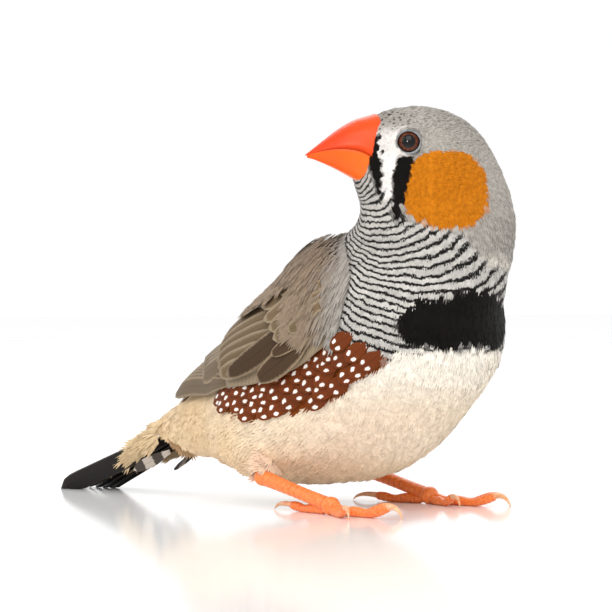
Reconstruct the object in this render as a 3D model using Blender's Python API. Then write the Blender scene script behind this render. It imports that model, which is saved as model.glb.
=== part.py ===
"""A male zebra finch at life size, crouching on a floor and looking back over its right shoulder.

Sizes are named in millimetres and turned to Blender's metres by MM.
+X is the bird's left, -Y its front and +Z up; the floor is at z = 0.
The body is laid out from a point midway between the feet, and PLACE then
moves the whole bird so that the origin is under the middle of its outline.
"""

import math
from collections import namedtuple

import bmesh
import bpy
import numpy as np

MM = 0.001
GAP = 0.3  # clearance between nodes that touch
PLACE = np.array([-0.1, -22.65, 0.0])  # from the feet's middle to the outline's middle
UP = np.array([0.0, 0.0, 1.0])

# Head
HEAD_TURN = 111.0  # degrees to the bird's right, from straight ahead
EYE_LINE = np.array([-6.5, -9.3, 47.0])  # the point midway between the eyes
EYE_RADIUS = 2.15
EYE_OUT = 4.9  # from the head's middle to the eyeball's centre
EYE_BACK = -0.6  # from the eye line to the eyeballs' centres, so that the pupils lie on the line
EYE_LOW = -0.3
EYE_AIM = (0.92, 0.33, 0.16)  # outwards, forward and up
LID_COLLAR = [(0.6, 2.3), (1.45, 2.15), (1.85, 1.95), (2.05, 1.7), (2.12, 1.5)]  # along the aim, radius

# Bill, from the eye line along the head
BILL_UPPER_END = 11.4
BILL_LOWER_END = 10.8
MOUTH_GAP = 0.3
NOSTRIL_RADIUS = 0.42

# Legs and feet
ANKLE_HEIGHT = 4.2
FOOT_PLACES = {"right": (-12.6, -4.9, -3.0), "left": (12.5, 4.3, 5.0)}  # x, y and toe-out in degrees
TARSUS_LENGTH = 14.0
TARSUS_RADIUS = 0.8
THIGH_LEAN = np.array([3.0, 1.6, 5.0])  # inwards, back and up from the ankle to the thigh's inside
THIGH_RADIUS = 2.2
FOOT_RISE = 1.15  # the sole joint's centre above the floor
FOOT_SPLIT = 5.6  # along the shank from the sole joint to where foot and leg part
CLAW_BEND = 80.0  # degrees that a claw turns down from root to point
CLAW_FALL = 1.0 - math.cos(math.radians(CLAW_BEND))
# heading from straight ahead (outwards positive), toe length, claw length, thickness
# and how far the last joint is raised
TOES = [
    (-24.0, 7.6, 3.8, 0.56, 0.9),
    (0.0, 11.6, 4.4, 0.62, 1.0),
    (26.0, 8.6, 3.8, 0.56, 0.9),
    (184.0, 9.0, 6.4, 0.62, 0.3),
]

# Feathers of wings and tail
VANE_THICKNESS = 0.5
VANE_CAMBER = 0.03  # droop of the edges for each square millimetre of half width

# Folded wing
CORE_END = 0.5  # share of the wing's length that its core takes
CORE_THICKNESS = 1.05
CORE_RIM = 0.75
CORE_LIFT = 0.15  # room under its flat faces for the round of the body
SHEET_ROWS = 31
SHEET_COLUMNS = 17

# Tail
TAIL_END = np.array([0.0, 66.3, 0.45])
TAIL_CORE = [(0.0, 4.2, 1.9), (3.0, 3.7, 1.6), (6.0, 3.0, 1.25), (9.0, 2.2, 0.9)]  # back, half width, height
RECTRIX_HALF = 1.45
RECTRIX_LEAN = 0.35
# sideways shift, drop and shortening of each tail feather's tip, from the middle out
RECTRICES = [(0.9, 0.0, 0.4), (2.05, 0.38, 0.0), (3.2, 0.76, 0.8), (4.3, 1.1, 2.6)]
# root's side and rise, tip's side, length and fall, half width and lean of the tail's coverts
TAIL_COVERTS = [
    (1.2, 1.1, 1.5, 12.0, 1.15, 1.6, 0.25),
    (3.1, 0.4, 4.9, 12.5, -1.6, 1.6, 1.1),
    (1.0, -1.1, 0.6, 17.5, -2.35, 1.9, -0.1),
]


def unit(vector):
    """The vector at length one."""
    vector = np.asarray(vector, float)
    return vector / np.linalg.norm(vector, axis=-1, keepdims=True)


def head_axes():
    """Rows left, forward and up of the turned head."""
    turn = math.radians(HEAD_TURN)
    forward = np.array([-math.sin(turn), -math.cos(turn), 0.0])
    return np.array([np.cross(UP, forward), forward, UP])


HEAD = head_axes()


def in_head(left, forward, up):
    """A point given from the eye line along the head's own axes."""
    return EYE_LINE + np.array([left, forward, up]) @ HEAD


def pitched(degrees):
    """Rows left, forward and up of a body mass whose front is raised by an angle."""
    a = math.radians(degrees)
    return np.array([[1, 0, 0], [0, -math.cos(a), math.sin(a)], [0, math.sin(a), math.cos(a)]])


def in_head_pitched(degrees):
    """The same for a mass of the head."""
    a = math.radians(degrees)
    left, forward, up = HEAD
    front = forward * math.cos(a) + up * math.sin(a)
    return np.array([left, front, up * math.cos(a) - forward * math.sin(a)])


# A mass is an ellipsoid: its centre, half sizes (across, along, high) and axes.
Mass = namedtuple("Mass", "centre sizes axes")
BODY_MASSES = [
    Mass(np.array([0.0, 9.0, 16.0]), (14.1, 18.3, 12.2), pitched(23)),  # belly
    Mass(np.array([0.0, -5.2, 24.4]), (13.0, 12.3, 13.2), pitched(40)),  # breast
    Mass(np.array([0.0, 1.0, 15.4]), (11.5, 13.4, 10.6), pitched(26)),  # lower breast
    Mass(np.array([0.0, 2.0, 26.2]), (9.6, 13.0, 7.0), pitched(38)),  # mantle
    Mass(np.array([0.0, 27.0, 13.0]), (7.6, 13.0, 6.0), pitched(24)),  # rump
    Mass(np.array([0.0, 22.5, 11.0]), (9.5, 9.0, 7.0), pitched(12)),  # vent
    Mass(np.array([-8.4, 12.0, 9.6]), (4.8, 8.5, 5.2), pitched(10)),  # flank feathers over a thigh
    Mass(np.array([8.4, 17.0, 9.6]), (4.8, 8.5, 5.2), pitched(10)),
    Mass(np.array([0.0, 40.0, 10.0]), (4.6, 8.0, 2.2), pitched(20)),  # tail coverts
    Mass(np.array([0.3, -11.2, 34.0]), (9.6, 9.2, 9.0), pitched(0)),  # neck
    Mass(in_head(0, -7.6, -7.8), (8.0, 7.6, 8.0), in_head_pitched(0)),  # nape
    Mass(in_head(0, -4.9, -5.0), (7.9, 6.2, 5.6), in_head_pitched(0)),  # cheeks
    Mass(in_head(0, -4.4, -1.3), (7.0, 7.4, 5.7), in_head_pitched(0)),  # skull
    Mass(in_head(0, -0.8, -1.2), (4.6, 4.6, 4.4), in_head_pitched(0)),  # face
    Mass(in_head(0, -0.4, -4.6), (2.8, 3.2, 2.4), in_head_pitched(12)),  # chin
]
BLEND = 1.6  # how widely neighbouring masses flow together


def clearance(points):
    """How far points lie outside the plumage, below zero inside it."""
    points = np.asarray(points, float)
    total = np.zeros(points.shape[:-1])
    for mass in BODY_MASSES:
        local = (points - mass.centre) @ mass.axes.T
        scaled = local / np.array(mass.sizes)
        reach = np.linalg.norm(scaled, axis=-1)
        slope = np.linalg.norm(scaled / np.array(mass.sizes), axis=-1)
        distance = reach * (reach - 1.0) / np.maximum(slope, 1e-9)
        total += np.exp(-np.clip(distance, -40, 40) / BLEND)
    return -BLEND * np.log(total)


def outward(points):
    """The direction that leaves the plumage fastest."""
    step = 0.05
    sides = [clearance(points + step * e) - clearance(points - step * e) for e in np.eye(3)]
    return unit(np.stack(sides, axis=-1))


def cast(starts, directions, offset=0.0, reach=26.0):
    """Points along rays, from starts inside the plumage, where its clearance is first offset."""
    directions = np.asarray(directions, float)
    starts = np.broadcast_to(np.asarray(starts, float), directions.shape)
    marks = np.linspace(0.2, reach, 80)
    found = clearance(starts[:, None, :] + directions[:, None, :] * marks[None, :, None]) > offset
    first = np.argmax(found, axis=1)
    high = marks[first]
    low = np.where(first > 0, marks[np.maximum(first - 1, 0)], 0.0)
    for _ in range(20):
        middle = (low + high) / 2
        out = clearance(starts + directions * middle[:, None]) > offset
        high = np.where(out, middle, high)
        low = np.where(out, low, middle)
    return starts + directions * ((low + high) / 2)[:, None]


def circle(centre, normal, reference, segments, radius=1.0):
    """A ring of points about a centre, across a normal, its first point towards a reference."""
    normal = unit(normal)
    first = unit(reference - np.dot(reference, normal) * normal)
    second = np.cross(normal, first)
    angles = np.linspace(0, 2 * math.pi, segments, endpoint=False)
    directions = np.cos(angles)[:, None] * first + np.sin(angles)[:, None] * second
    return np.asarray(centre, float) + directions * radius


def ring_on_plumage(centre, normal, reference, segments, offset=0.0):
    """A ring of points on the plumage in the plane through a centre across a normal."""
    directions = circle(np.zeros(3), normal, reference, segments)
    return cast(centre, directions, offset)


def new_material(name, colour, roughness):
    """A plain painted finish."""
    material = bpy.data.materials.new(name)
    material.use_nodes = True
    shader = material.node_tree.nodes["Principled BSDF"]
    shader.inputs["Base Color"].default_value = (*colour, 1.0)
    shader.inputs["Roughness"].default_value = roughness
    return material


def new_node(name, points, faces, material):
    """An object from points in millimetres and faces, with its normals made to point out."""
    mesh = bpy.data.meshes.new(name)
    placed = (np.asarray(points, float) + PLACE) * MM
    mesh.from_pydata([tuple(p) for p in placed], [], [tuple(map(int, f)) for f in faces])
    shape = bmesh.new()
    shape.from_mesh(mesh)
    bmesh.ops.recalc_face_normals(shape, faces=shape.faces)
    bmesh.ops.triangulate(shape, faces=shape.faces)
    shape.to_mesh(mesh)
    shape.free()
    mesh.shade_smooth()
    mesh.materials.append(material)
    node = bpy.data.objects.new(name, mesh)
    bpy.context.scene.collection.objects.link(node)
    return node


def keep_largest(mesh):
    """Only the largest closed surface of a mesh is kept."""
    shape = bmesh.new()
    shape.from_mesh(mesh)
    bmesh.ops.triangulate(shape, faces=shape.faces)
    unseen = set(shape.verts)
    groups = []
    while unseen:
        group = set()
        edge = [unseen.pop()]
        while edge:
            vert = edge.pop()
            group.add(vert)
            for link in vert.link_edges:
                other = link.other_vert(vert)
                if other in unseen:
                    unseen.discard(other)
                    edge.append(other)
        groups.append(group)
    groups.sort(key=len, reverse=True)
    for group in groups[1:]:
        bmesh.ops.delete(shape, geom=list(group), context="VERTS")
    shape.to_mesh(mesh)
    shape.free()


def combine(node, pieces, operation="UNION", solver="EXACT"):
    """One Boolean of a node with a collection of pieces, applied; the pieces are removed."""
    group = bpy.data.collections.new(node.name + "_pieces")
    for piece in pieces:
        for home in list(piece.users_collection):
            home.objects.unlink(piece)
        group.objects.link(piece)
    bpy.context.scene.collection.children.link(group)
    boolean = node.modifiers.new("join", "BOOLEAN")
    boolean.operation = operation
    boolean.operand_type = "COLLECTION"
    boolean.collection = group
    boolean.solver = solver
    bpy.context.view_layer.update()
    shown = node.evaluated_get(bpy.context.evaluated_depsgraph_get())
    mesh = bpy.data.meshes.new_from_object(shown)
    node.modifiers.clear()
    node.data = mesh
    for piece in pieces:
        bpy.data.objects.remove(piece)
    bpy.data.collections.remove(group)
    keep_largest(node.data)
    node.data.shade_smooth()
    return node


def loft(rings):
    """Points and faces of a closed body through rings of equal count, capped by fans."""
    rings = [np.asarray(r, float) for r in rings]
    count = len(rings[0])
    points = np.concatenate(rings + [rings[0].mean(axis=0)[None], rings[-1].mean(axis=0)[None]])
    start, end = len(points) - 2, len(points) - 1
    faces = []
    for i in range(len(rings) - 1):
        for j in range(count):
            k = (j + 1) % count
            faces.append((i * count + j, i * count + k, (i + 1) * count + k, (i + 1) * count + j))
    last = (len(rings) - 1) * count
    for j in range(count):
        k = (j + 1) % count
        faces.append((start, k, j))
        faces.append((end, last + j, last + k))
    return points, faces


def along(keys, t):
    """A smooth curve through key points, at t from 0 to 1."""
    keys = np.asarray(keys, float)
    spans = len(keys) - 1
    position = min(max(t, 0.0), 1.0) * spans
    i = min(int(position), spans - 1)
    f = position - i
    before = keys[i - 1] if i > 0 else 2 * keys[0] - keys[1]
    after = keys[i + 2] if i + 2 < len(keys) else 2 * keys[-1] - keys[-2]
    a, b = keys[i], keys[i + 1]
    bend = (2 * before - 5 * a + 4 * b - after) * f**2 + (3 * a - before - 3 * b + after) * f**3
    return 0.5 * (2 * a + (b - before) * f + bend)


# The planes that slice torso and neck: centre and the direction each faces.
TORSO_PLANES = [
    ((0, 41.0, 9.1), (0, -0.95, 0.31)),
    ((0, 34.0, 12.0), (0, -0.91, 0.41)),
    ((0, 25.0, 15.2), (0, -0.90, 0.44)),
    ((0, 13.0, 18.2), (0, -0.90, 0.44)),
    ((0, 2.0, 21.8), (0, -0.84, 0.54)),
    ((0, -5.0, 26.0), (0, -0.68, 0.73)),
    ((0, -8.5, 30.5), (0, -0.45, 0.89)),
]
THROAT_PIVOT = (7.4, -9.2)  # forward and up from the eye line: where the head's planes meet
FAN_END = 75.0  # degrees, the flat that the bill grows from
NECK_CUT = 12.0  # degrees, the plane between neck and head


def fan_plane(degrees):
    """Centre and normal of a head plane turned about the throat from level."""
    a = math.radians(degrees)
    distance = 14.0 + (9.2 - 14.0) * degrees / FAN_END
    forward, up = THROAT_PIVOT
    centre = in_head(0, forward - math.cos(a) * distance, up + math.sin(a) * distance)
    normal = HEAD[1] * math.sin(a) + HEAD[2] * math.cos(a)
    return centre, normal


def rings_between(planes, count, segments, reference, trim=(0.0, 0.0)):
    """Rings through planes given as centre and normal, the end rings set back by trim."""
    centres = [np.array(c, float) for c, _ in planes]
    normals = [unit(n) for _, n in planes]
    rings = []
    for i in range(count):
        t = i / (count - 1)
        centre, normal = along(centres, t), unit(along(normals, t))
        if i == 0:
            centre = centre + normal * trim[0]
        if i == count - 1:
            centre = centre - normal * trim[1]
        rings.append(ring_on_plumage(centre, normal, reference, segments))
    return rings


def ball(centre, sizes, segments=12, rows=8, axes=None, floor=None):
    """Points and faces of an ellipsoid, its rows along the last axis, flat where it meets a floor."""
    axes = np.eye(3) if axes is None else np.asarray(axes, float)
    rings = []
    for i in range(1, rows):
        a = math.pi * i / rows
        turn = np.linspace(0, 2 * math.pi, segments, endpoint=False)
        level = np.full(segments, -math.cos(a))
        local = np.stack([np.cos(turn) * math.sin(a), np.sin(turn) * math.sin(a), level])
        rings.append(centre + (local.T * np.asarray(sizes, float)) @ axes)
    points, faces = loft(rings)
    points[-2] = centre - axes[2] * sizes[2]
    points[-1] = centre + axes[2] * sizes[2]
    if floor is not None:
        points[:, 2] = np.maximum(points[:, 2], floor)
    return points, faces


def make_body(materials):
    torso = rings_between(TORSO_PLANES, 21, 28, UP, (0.0, GAP / 2))
    new_node("torso", *loft(torso), materials["down"])
    neck_planes = [TORSO_PLANES[-1], fan_plane(0.0), fan_plane(NECK_CUT)]
    neck = rings_between(neck_planes, 9, 30, np.array([0.0, 1.0, 0.0]), (GAP / 2, GAP / 2))
    new_node("neck", *loft(neck), materials["grey"])


def eye_place(side):
    """Centre of an eyeball and its axes, the last one pointing out of the head."""
    aim = unit(np.array([side * EYE_AIM[0], EYE_AIM[1], EYE_AIM[2]]) @ HEAD)
    across = unit(np.cross(UP, aim))
    return in_head(side * EYE_OUT, EYE_BACK, EYE_LOW), np.array([across, np.cross(aim, across), aim])


def make_head(materials):
    """The head with a ring of lids about each eye's socket."""
    planes = [fan_plane(NECK_CUT + (FAN_END - NECK_CUT) * i / 8) for i in range(9)]
    rings = rings_between(planes, 15, 30, -HEAD[1], (GAP / 2, 0.0))
    head = new_node("head", *loft(rings), materials["grey"])
    lids = []
    sockets = []
    for side in (-1, 1):
        centre, axes = eye_place(side)
        collar = [circle(centre + axes[2] * out, axes[2], axes[0], 18, radius) for out, radius in LID_COLLAR]
        lids.append(new_node("lids", *loft(collar), materials["grey"]))
        socket = ball(centre, (EYE_RADIUS + GAP,) * 3, 16, 9, axes)
        sockets.append(new_node("socket", *socket, materials["grey"]))
    combine(head, lids)
    combine(head, sockets, "DIFFERENCE")


def make_eyes(materials):
    for side, name in ((-1, "eye_right"), (1, "eye_left")):
        centre, axes = eye_place(side)
        new_node(name, *ball(centre, (EYE_RADIUS,) * 3, 16, 9, axes), materials["eye"])


# Bill outline: forward, culmen, mouth line, underside and half width, from the eye line.
BILL_OUTLINE = np.array([
    (1.0, 4.0, -3.2, -6.0, 4.3),
    (3.0, 3.5, -2.3, -5.5, 3.9),
    (5.0, 2.85, -1.2, -4.45, 3.2),
    (7.0, 1.7, -0.85, -3.45, 2.35),
    (9.0, 0.25, -1.0, -2.6, 1.35),
    (10.6, -0.95, -1.4, -2.05, 0.55),
    (11.6, -1.7, -2.1, -2.6, 0.1),
])


def bill_outline(forward):
    """Culmen, mouth line, underside and half width of the bill at a place along the head."""
    return [np.interp(forward, BILL_OUTLINE[:, 0], BILL_OUTLINE[:, k]) for k in range(1, 5)]


def bill_point(forward, turn, upper):
    """A point of the bill's skin: turn runs from the left edge of the mouth round to the right."""
    culmen, mouth, underside, half_width = bill_outline(forward)
    edge = mouth + MOUTH_GAP / 2 * (1 if upper else -1)
    reach = (culmen if upper else underside) - edge
    if turn <= 1.0:
        a = math.pi * turn
        shape = abs(math.cos(a)) ** 0.9 * (1 if math.cos(a) > 0 else -1)
        return half_width * shape, edge + reach * math.sin(a)
    return half_width * (2 * (turn - 1.0) - 1.0), edge


def bill_root(left, up):
    """How far forward the face reaches, with its gap to the bill, at a place on it."""
    start = in_head(left, -4.0, up)
    face = cast(start, HEAD[1][None], GAP)[0]
    reach = float(np.dot(face - EYE_LINE, HEAD[1]))
    centre, normal = fan_plane(FAN_END)
    slope = np.dot(HEAD[1], normal)
    flat = (np.dot(centre - in_head(left, 0.0, up), normal) + GAP) / slope
    return min(reach, float(flat))


def make_bill_half(name, upper, material):
    """One mandible, its root shaped to the face."""
    end = BILL_UPPER_END if upper else BILL_LOWER_END
    turns = np.concatenate([np.linspace(0, 1, 13), [1.25, 1.5, 1.75]])
    roots = []
    for turn in turns:
        forward = 4.0
        for _ in range(8):
            left, height = bill_point(forward, turn, upper)
            forward = bill_root(left, height)
        roots.append(forward)
    rings = []
    for t in (0.0, 0.14, 0.3, 0.46, 0.62, 0.78, 0.92, 1.0):
        ring = []
        for turn, root in zip(turns, roots):
            forward = root + (end - root) * t
            left, height = bill_point(forward, turn, upper)
            ring.append(in_head(left, forward, height))
        rings.append(np.array(ring))
    root_flat = [(r - EYE_LINE) @ HEAD.T for r in rings[0]]
    middle = np.mean(root_flat, axis=0)
    for share in (0.62, 0.25):
        ring = []
        for point in root_flat:
            inner = middle + (point - middle) * share
            ring.append(in_head(inner[0], bill_root(inner[0], inner[2]), inner[2]))
        rings.insert(0, np.array(ring))
    return new_node(name, *loft(rings), material)


def make_bill(materials):
    upper = make_bill_half("bill_upper", True, materials["bill"])
    pits = []
    for side in (-1, 1):
        left, height = bill_point(4.9, 0.5 - side * 0.2, True)
        sizes = (NOSTRIL_RADIUS, NOSTRIL_RADIUS * 1.3, NOSTRIL_RADIUS)
        pit = ball(in_head(left, 4.9, height), sizes, 8, 6, HEAD)
        pits.append(new_node("nostril", *pit, materials["bill"]))
    combine(upper, pits, "DIFFERENCE")
    make_bill_half("bill_lower", False, materials["bill"])


def tube(path, radii, sides, floor=None, reference=UP):
    """Points and faces of a round limb along a path, flat where it meets a floor."""
    path = np.asarray(path, float)
    ways = unit(np.gradient(path, axis=0))
    rings = []
    for point, way, radius in zip(path, ways, radii):
        ring = circle(point, way, reference, sides, radius)
        if floor is not None:
            ring[:, 2] = np.maximum(ring[:, 2], floor)
        rings.append(ring)
    return loft(rings)


def shank(side):
    """Sole joint and ankle of a leg."""
    x, y, _ = FOOT_PLACES[side]
    sole = np.array([x, y, FOOT_RISE])
    rise = ANKLE_HEIGHT - FOOT_RISE
    ankle = sole + np.array([0.0, math.sqrt(TARSUS_LENGTH**2 - rise**2), rise])
    return sole, ankle


def make_leg(side, materials):
    """Scaly shank, ankle, and the feathered thigh that meets the flank."""
    sole, ankle = shank(side)
    way = unit(sole - ankle)
    stations = np.linspace(0, 1, 10)
    path = ankle + (sole - way * FOOT_SPLIT - ankle) * stations[:, None]
    radii = TARSUS_RADIUS * (1.0 + 0.28 * (1 - stations) ** 3 + 0.05 * stations**3)
    leg = new_node("leg_" + side, *tube(path, radii, 10), materials["leg"])
    inward = -1 if ankle[0] > 0 else 1
    top = ankle + THIGH_LEAN * (inward, 1, 1)
    axis = unit(ankle - top)
    rings = []
    for share in (0.3, 0.65, 1.0):
        ring = circle(top, axis, UP, 14, THIGH_RADIUS * share)
        rings.append(cast(ring - axis * 2.0, np.broadcast_to(axis, ring.shape), GAP))
    seat = rings[-1]
    foot = circle(ankle + axis * 0.3, axis, UP, 14, 0.9)
    rings += [seat + (foot - seat) * t for t in (0.35, 0.7, 1.0)]
    thigh = new_node("thigh", *loft(rings), materials["down"])
    knob = new_node("ankle", *ball(ankle, (1.0, 1.15, 1.1), 10, 8), materials["leg"])
    combine(leg, [knob, thigh])


def make_foot(side, materials):
    """Four toes with their claws, joined at the sole."""
    sole, ankle = shank(side)
    toe_out = FOOT_PLACES[side][2]
    outward_sign = 1 if side == "left" else -1
    foot = new_node("foot_" + side, *ball(sole, (1.25, 1.5, 1.15), 12, 8, floor=0.0), materials["leg"])
    way = unit(ankle - sole)
    stub = sole + way * np.linspace(0.0, FOOT_SPLIT - GAP, 5)[:, None]
    radii = TARSUS_RADIUS * np.array([1.25, 1.18, 1.12, 1.08, 1.05])
    pieces = [new_node("stub", *tube(stub, radii, 10), materials["leg"])]
    for heading, length, claw, thickness, lift in TOES:
        a = math.radians(heading * outward_sign + toe_out)
        ahead = np.array([math.sin(a), -math.cos(a), 0.0])
        stations = np.concatenate([np.linspace(0.0, 1.0, 10), 1.0 + np.array([0.15, 0.45, 0.75, 1.0])])
        path = []
        radii = []
        for s in stations:
            if s <= 1.0:
                radius = thickness * (1.12 - 0.3 * s + 0.1 * math.cos(2 * math.pi * 2.25 * s))
                height = radius * 0.9 + (FOOT_RISE - radius * 0.9) * max(0.0, 1 - s / 0.3) ** 2
                height += lift * max(0.0, (s - 0.6) / 0.4) ** 2
                path.append(sole * (1, 1, 0) + ahead * length * s + UP * height)
            else:
                t = s - 1.0
                radius = thickness * 0.62 * (1 - t) ** 0.75 + 0.05
                drop = math.radians(CLAW_BEND) * t
                start = lift + thickness * 0.75
                run = claw * math.sin(drop) / math.radians(CLAW_BEND)
                fallen = (1 - math.cos(drop)) / CLAW_FALL
                height = start + 0.25 * math.sin(math.pi * t) - (start - 0.08) * fallen
                path.append(sole * (1, 1, 0) + ahead * (length + run) + UP * max(height, 0.08))
            radii.append(radius)
        pieces.append(new_node("toe", *tube(path, radii, 7, floor=0.0), materials["leg"]))
    combine(foot, pieces)


def wing_guide(side):
    """Key rows of the folded wing's inner face, top edge to lower edge, shoulder to tip."""
    rows = [
        [(6.0, -2.5, 34.5), (12.6, -7.5, 30.0), (14.6, -6.5, 22.5)],
        [(4.0, 3.0, 33.5), (13.0, 1.0, 27.0), (15.0, 0.0, 18.5)],
        [(2.2, 11.0, 31.0), (12.0, 10.0, 23.0), (14.2, 8.0, 16.2)],
        [(1.2, 20.0, 26.0), (9.5, 19.0, 19.0), (11.0, 19.0, 14.8)],
        [(0.8, 29.0, 19.5), (5.6, 28.5, 17.0), (7.5, 28.0, 14.0)],
        [(0.8, 38.0, 14.4), (2.6, 37.5, 13.8), (4.2, 36.5, 13.0)],
    ]
    rows = np.array(rows, float)
    rows[..., 0] *= side
    return rows


def clear_of_body(points):
    """Points that come too near the plumage are moved out to its gap."""
    points = np.array(points, float)
    for _ in range(5):
        short = np.maximum(GAP + 0.04 - clearance(points), 0.0)
        if not short.any():
            break
        points = points + outward(points) * short[..., None]
    return points


class WingSheet:
    """The face on which a folded wing lies: a grid on the plumage with its gap."""

    def __init__(self, side):
        rows = wing_guide(side)
        us, vs = np.linspace(0, 1, SHEET_ROWS), np.linspace(0, 1, SHEET_COLUMNS)
        grid = np.array([[along([along(rows[:, k], u) for k in range(3)], v) for v in vs] for u in us])
        for _ in range(8):
            grid = grid - outward(grid) * (clearance(grid) - GAP - 0.04)[..., None]
        grid[..., 0] = side * np.maximum(grid[..., 0] * side, GAP)
        self.grid = clear_of_body(grid)
        normal = np.cross(np.gradient(self.grid, axis=0), np.gradient(self.grid, axis=1))
        flip = 1.0 if np.mean(normal[..., 0]) * side > 0 else -1.0
        self.normals = unit(normal) * flip
        self.side = side

    def look_up(self, table, u, v):
        """A value of a grid at a share of the wing's length and breadth."""
        x = min(max(u, 0.0), 1.0) * (SHEET_ROWS - 1)
        y = min(max(v, 0.0), 1.0) * (SHEET_COLUMNS - 1)
        i, j = min(int(x), SHEET_ROWS - 2), min(int(y), SHEET_COLUMNS - 2)
        f, g = x - i, y - j
        near = table[i, j] * (1 - g) + table[i, j + 1] * g
        far = table[i + 1, j] * (1 - g) + table[i + 1, j + 1] * g
        return near * (1 - f) + far * f

    def place(self, u, v, height):
        """A point above the sheet and the sheet's normal there."""
        normal = unit(self.look_up(self.normals, u, v))
        return self.look_up(self.grid, u, v) + normal * height, normal


def vane(centres, acrosses, normals, half_widths, thicknesses, camber):
    """Points and faces of one feather: a thin blade, its edges bent down by camber."""
    rings = []
    for centre, across, normal, half, thick in zip(centres, acrosses, normals, half_widths, thicknesses):
        low = normal * (-thick / 2)
        drop = normal * (camber * half**2)
        left, right = centre - across * half - drop, centre + across * half - drop
        under = [left + low, centre + low, right + low]
        over = [right - low, centre - low, left - low]
        rings.append(np.array(under + over))
    points = np.concatenate(rings)
    faces = []
    for i in range(len(rings) - 1):
        for j in range(6):
            k = (j + 1) % 6
            a, b, c, d = i * 6 + j, i * 6 + k, (i + 1) * 6 + k, (i + 1) * 6 + j
            faces += [(a, b, c), (a, c, d)] if j in (0, 2, 4) else [(a, b, d), (b, c, d)]
    last = (len(rings) - 1) * 6
    for start in (0, last):
        faces += [(start, start + 1, start + 5), (start + 1, start + 4, start + 5)]
        faces += [(start + 1, start + 2, start + 4), (start + 2, start + 3, start + 4)]
    return points, faces


# Shares of a feather's length, with its breadth and thickness there: of a short one and of a long one.
COVERT = ((0.0, 0.5, 1.0), (0.45, 0.95, 1.0), (0.84, 0.9, 0.95), (1.0, 0.36, 0.7))
QUILL = (
    (0.0, 0.5, 1.0),
    (0.2, 0.7, 1.0),
    (0.42, 0.9, 1.0),
    (0.68, 1.0, 0.95),
    (0.88, 0.85, 0.9),
    (1.0, 0.4, 0.7),
)


def wing_vane(sheet, root, tip, half_width, heights, tilt, stations):
    """A wing feather from root to tip, each given as shares of the wing's length and breadth."""
    centres, normals = [], []
    for share, _, _ in stations:
        u = root[0] + (tip[0] - root[0]) * share
        v = root[1] + (tip[1] - root[1]) * share
        point, normal = sheet.place(u, v, heights[0] + (heights[1] - heights[0]) * share)
        centres.append(point)
        normals.append(normal)
    centres, normals = np.array(centres), np.array(normals)
    ways = unit(np.gradient(centres, axis=0))
    acrosses = unit(np.cross(normals, ways)) * sheet.side
    leaned = unit(acrosses + normals * tilt)
    upright = unit(np.cross(ways, leaned)) * sheet.side
    halves = [half_width * breadth for _, breadth, _ in stations]
    thick = [VANE_THICKNESS * share for _, _, share in stations]
    points, faces = vane(centres, leaned, upright, halves, thick, VANE_CAMBER)
    points = clear_of_body(points)
    points[:, 0] = sheet.side * np.maximum(points[:, 0] * sheet.side, GAP)
    return points, faces


def wing_core(sheet, name, material):
    """The part of the wing that the feathers grow from, thinning to its rim."""
    us = np.linspace(0.0, CORE_END, 9)
    vs = np.linspace(0.0, 1.0, 7)
    outer, inner = [], []
    for u in us:
        for v in vs:
            swell = math.sin(math.pi * min(max(v, 0.02), 0.98)) ** 0.5
            swell *= min(1.0, (0.25 + u / CORE_END) / 0.5)
            outer.append(sheet.place(u, v, CORE_RIM + (CORE_THICKNESS - CORE_RIM) * swell)[0])
            inner.append(sheet.place(u, v, CORE_LIFT)[0])
    n, m = len(us), len(vs)
    points = np.array(outer + inner)
    faces = []
    for i in range(n - 1):
        for j in range(m - 1):
            a, b, c, d = i * m + j, i * m + j + 1, (i + 1) * m + j + 1, (i + 1) * m + j
            faces += [(a, b, c), (a, c, d)]
            faces += [tuple(n * m + q for q in face) for face in ((a, c, b), (a, d, c))]
    rim = [(i, 0) for i in range(n)]
    rim += [(n - 1, j) for j in range(1, m)]
    rim += [(i, m - 1) for i in range(n - 2, -1, -1)]
    rim += [(0, j) for j in range(m - 2, 0, -1)]
    for (i, j), (k, l) in zip(rim, rim[1:] + rim[:1]):
        a, b = i * m + j, k * m + l
        faces += [(a, b, n * m + b), (a, n * m + b, n * m + a)]
    return new_node(name, points, faces, material)


# A tier of wing feathers or of their coverts: how many, roots and tips from the first to the
# last as shares of the wing's length and breadth, half width, height at root and tip, and lean
# towards the next one.
Tier = namedtuple("Tier", "name count roots tips half_width heights tilt")
WING_TIERS = [
    Tier("primaries", 5, ((0.44, 0.6), (0.44, 0.93)), ((0.86, 0.44), (1.0, 0.8)), 1.29, (0.78, 0.87), 0.34),
    Tier("secondaries", 3, ((0.42, 0.36), (0.42, 0.58)), ((0.78, 0.36), (0.7, 0.66)), 1.75, (0.62, 1.47), 0.18),
    Tier("tertials", 2, ((0.4, 0.1), (0.4, 0.28)), ((0.86, 0.1), (0.77, 0.32)), 1.96, (0.68, 1.57), 0.22),
    Tier("greater", 5, ((0.26, 0.22), (0.26, 0.88)), ((0.5, 0.3), (0.5, 0.92)), 1.78, (0.64, 1.98), 0.27),
    Tier("median", 5, ((0.1, 0.22), (0.1, 0.86)), ((0.31, 0.26), (0.31, 0.9)), 1.69, (0.66, 1.8), 0.2),
    Tier("scapulars", 3, ((0.06, 0.04), (0.3, 0.03)), ((0.34, 0.12), (0.62, 0.1)), 1.95, (0.57, 1.46), 0.14),
]


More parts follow.
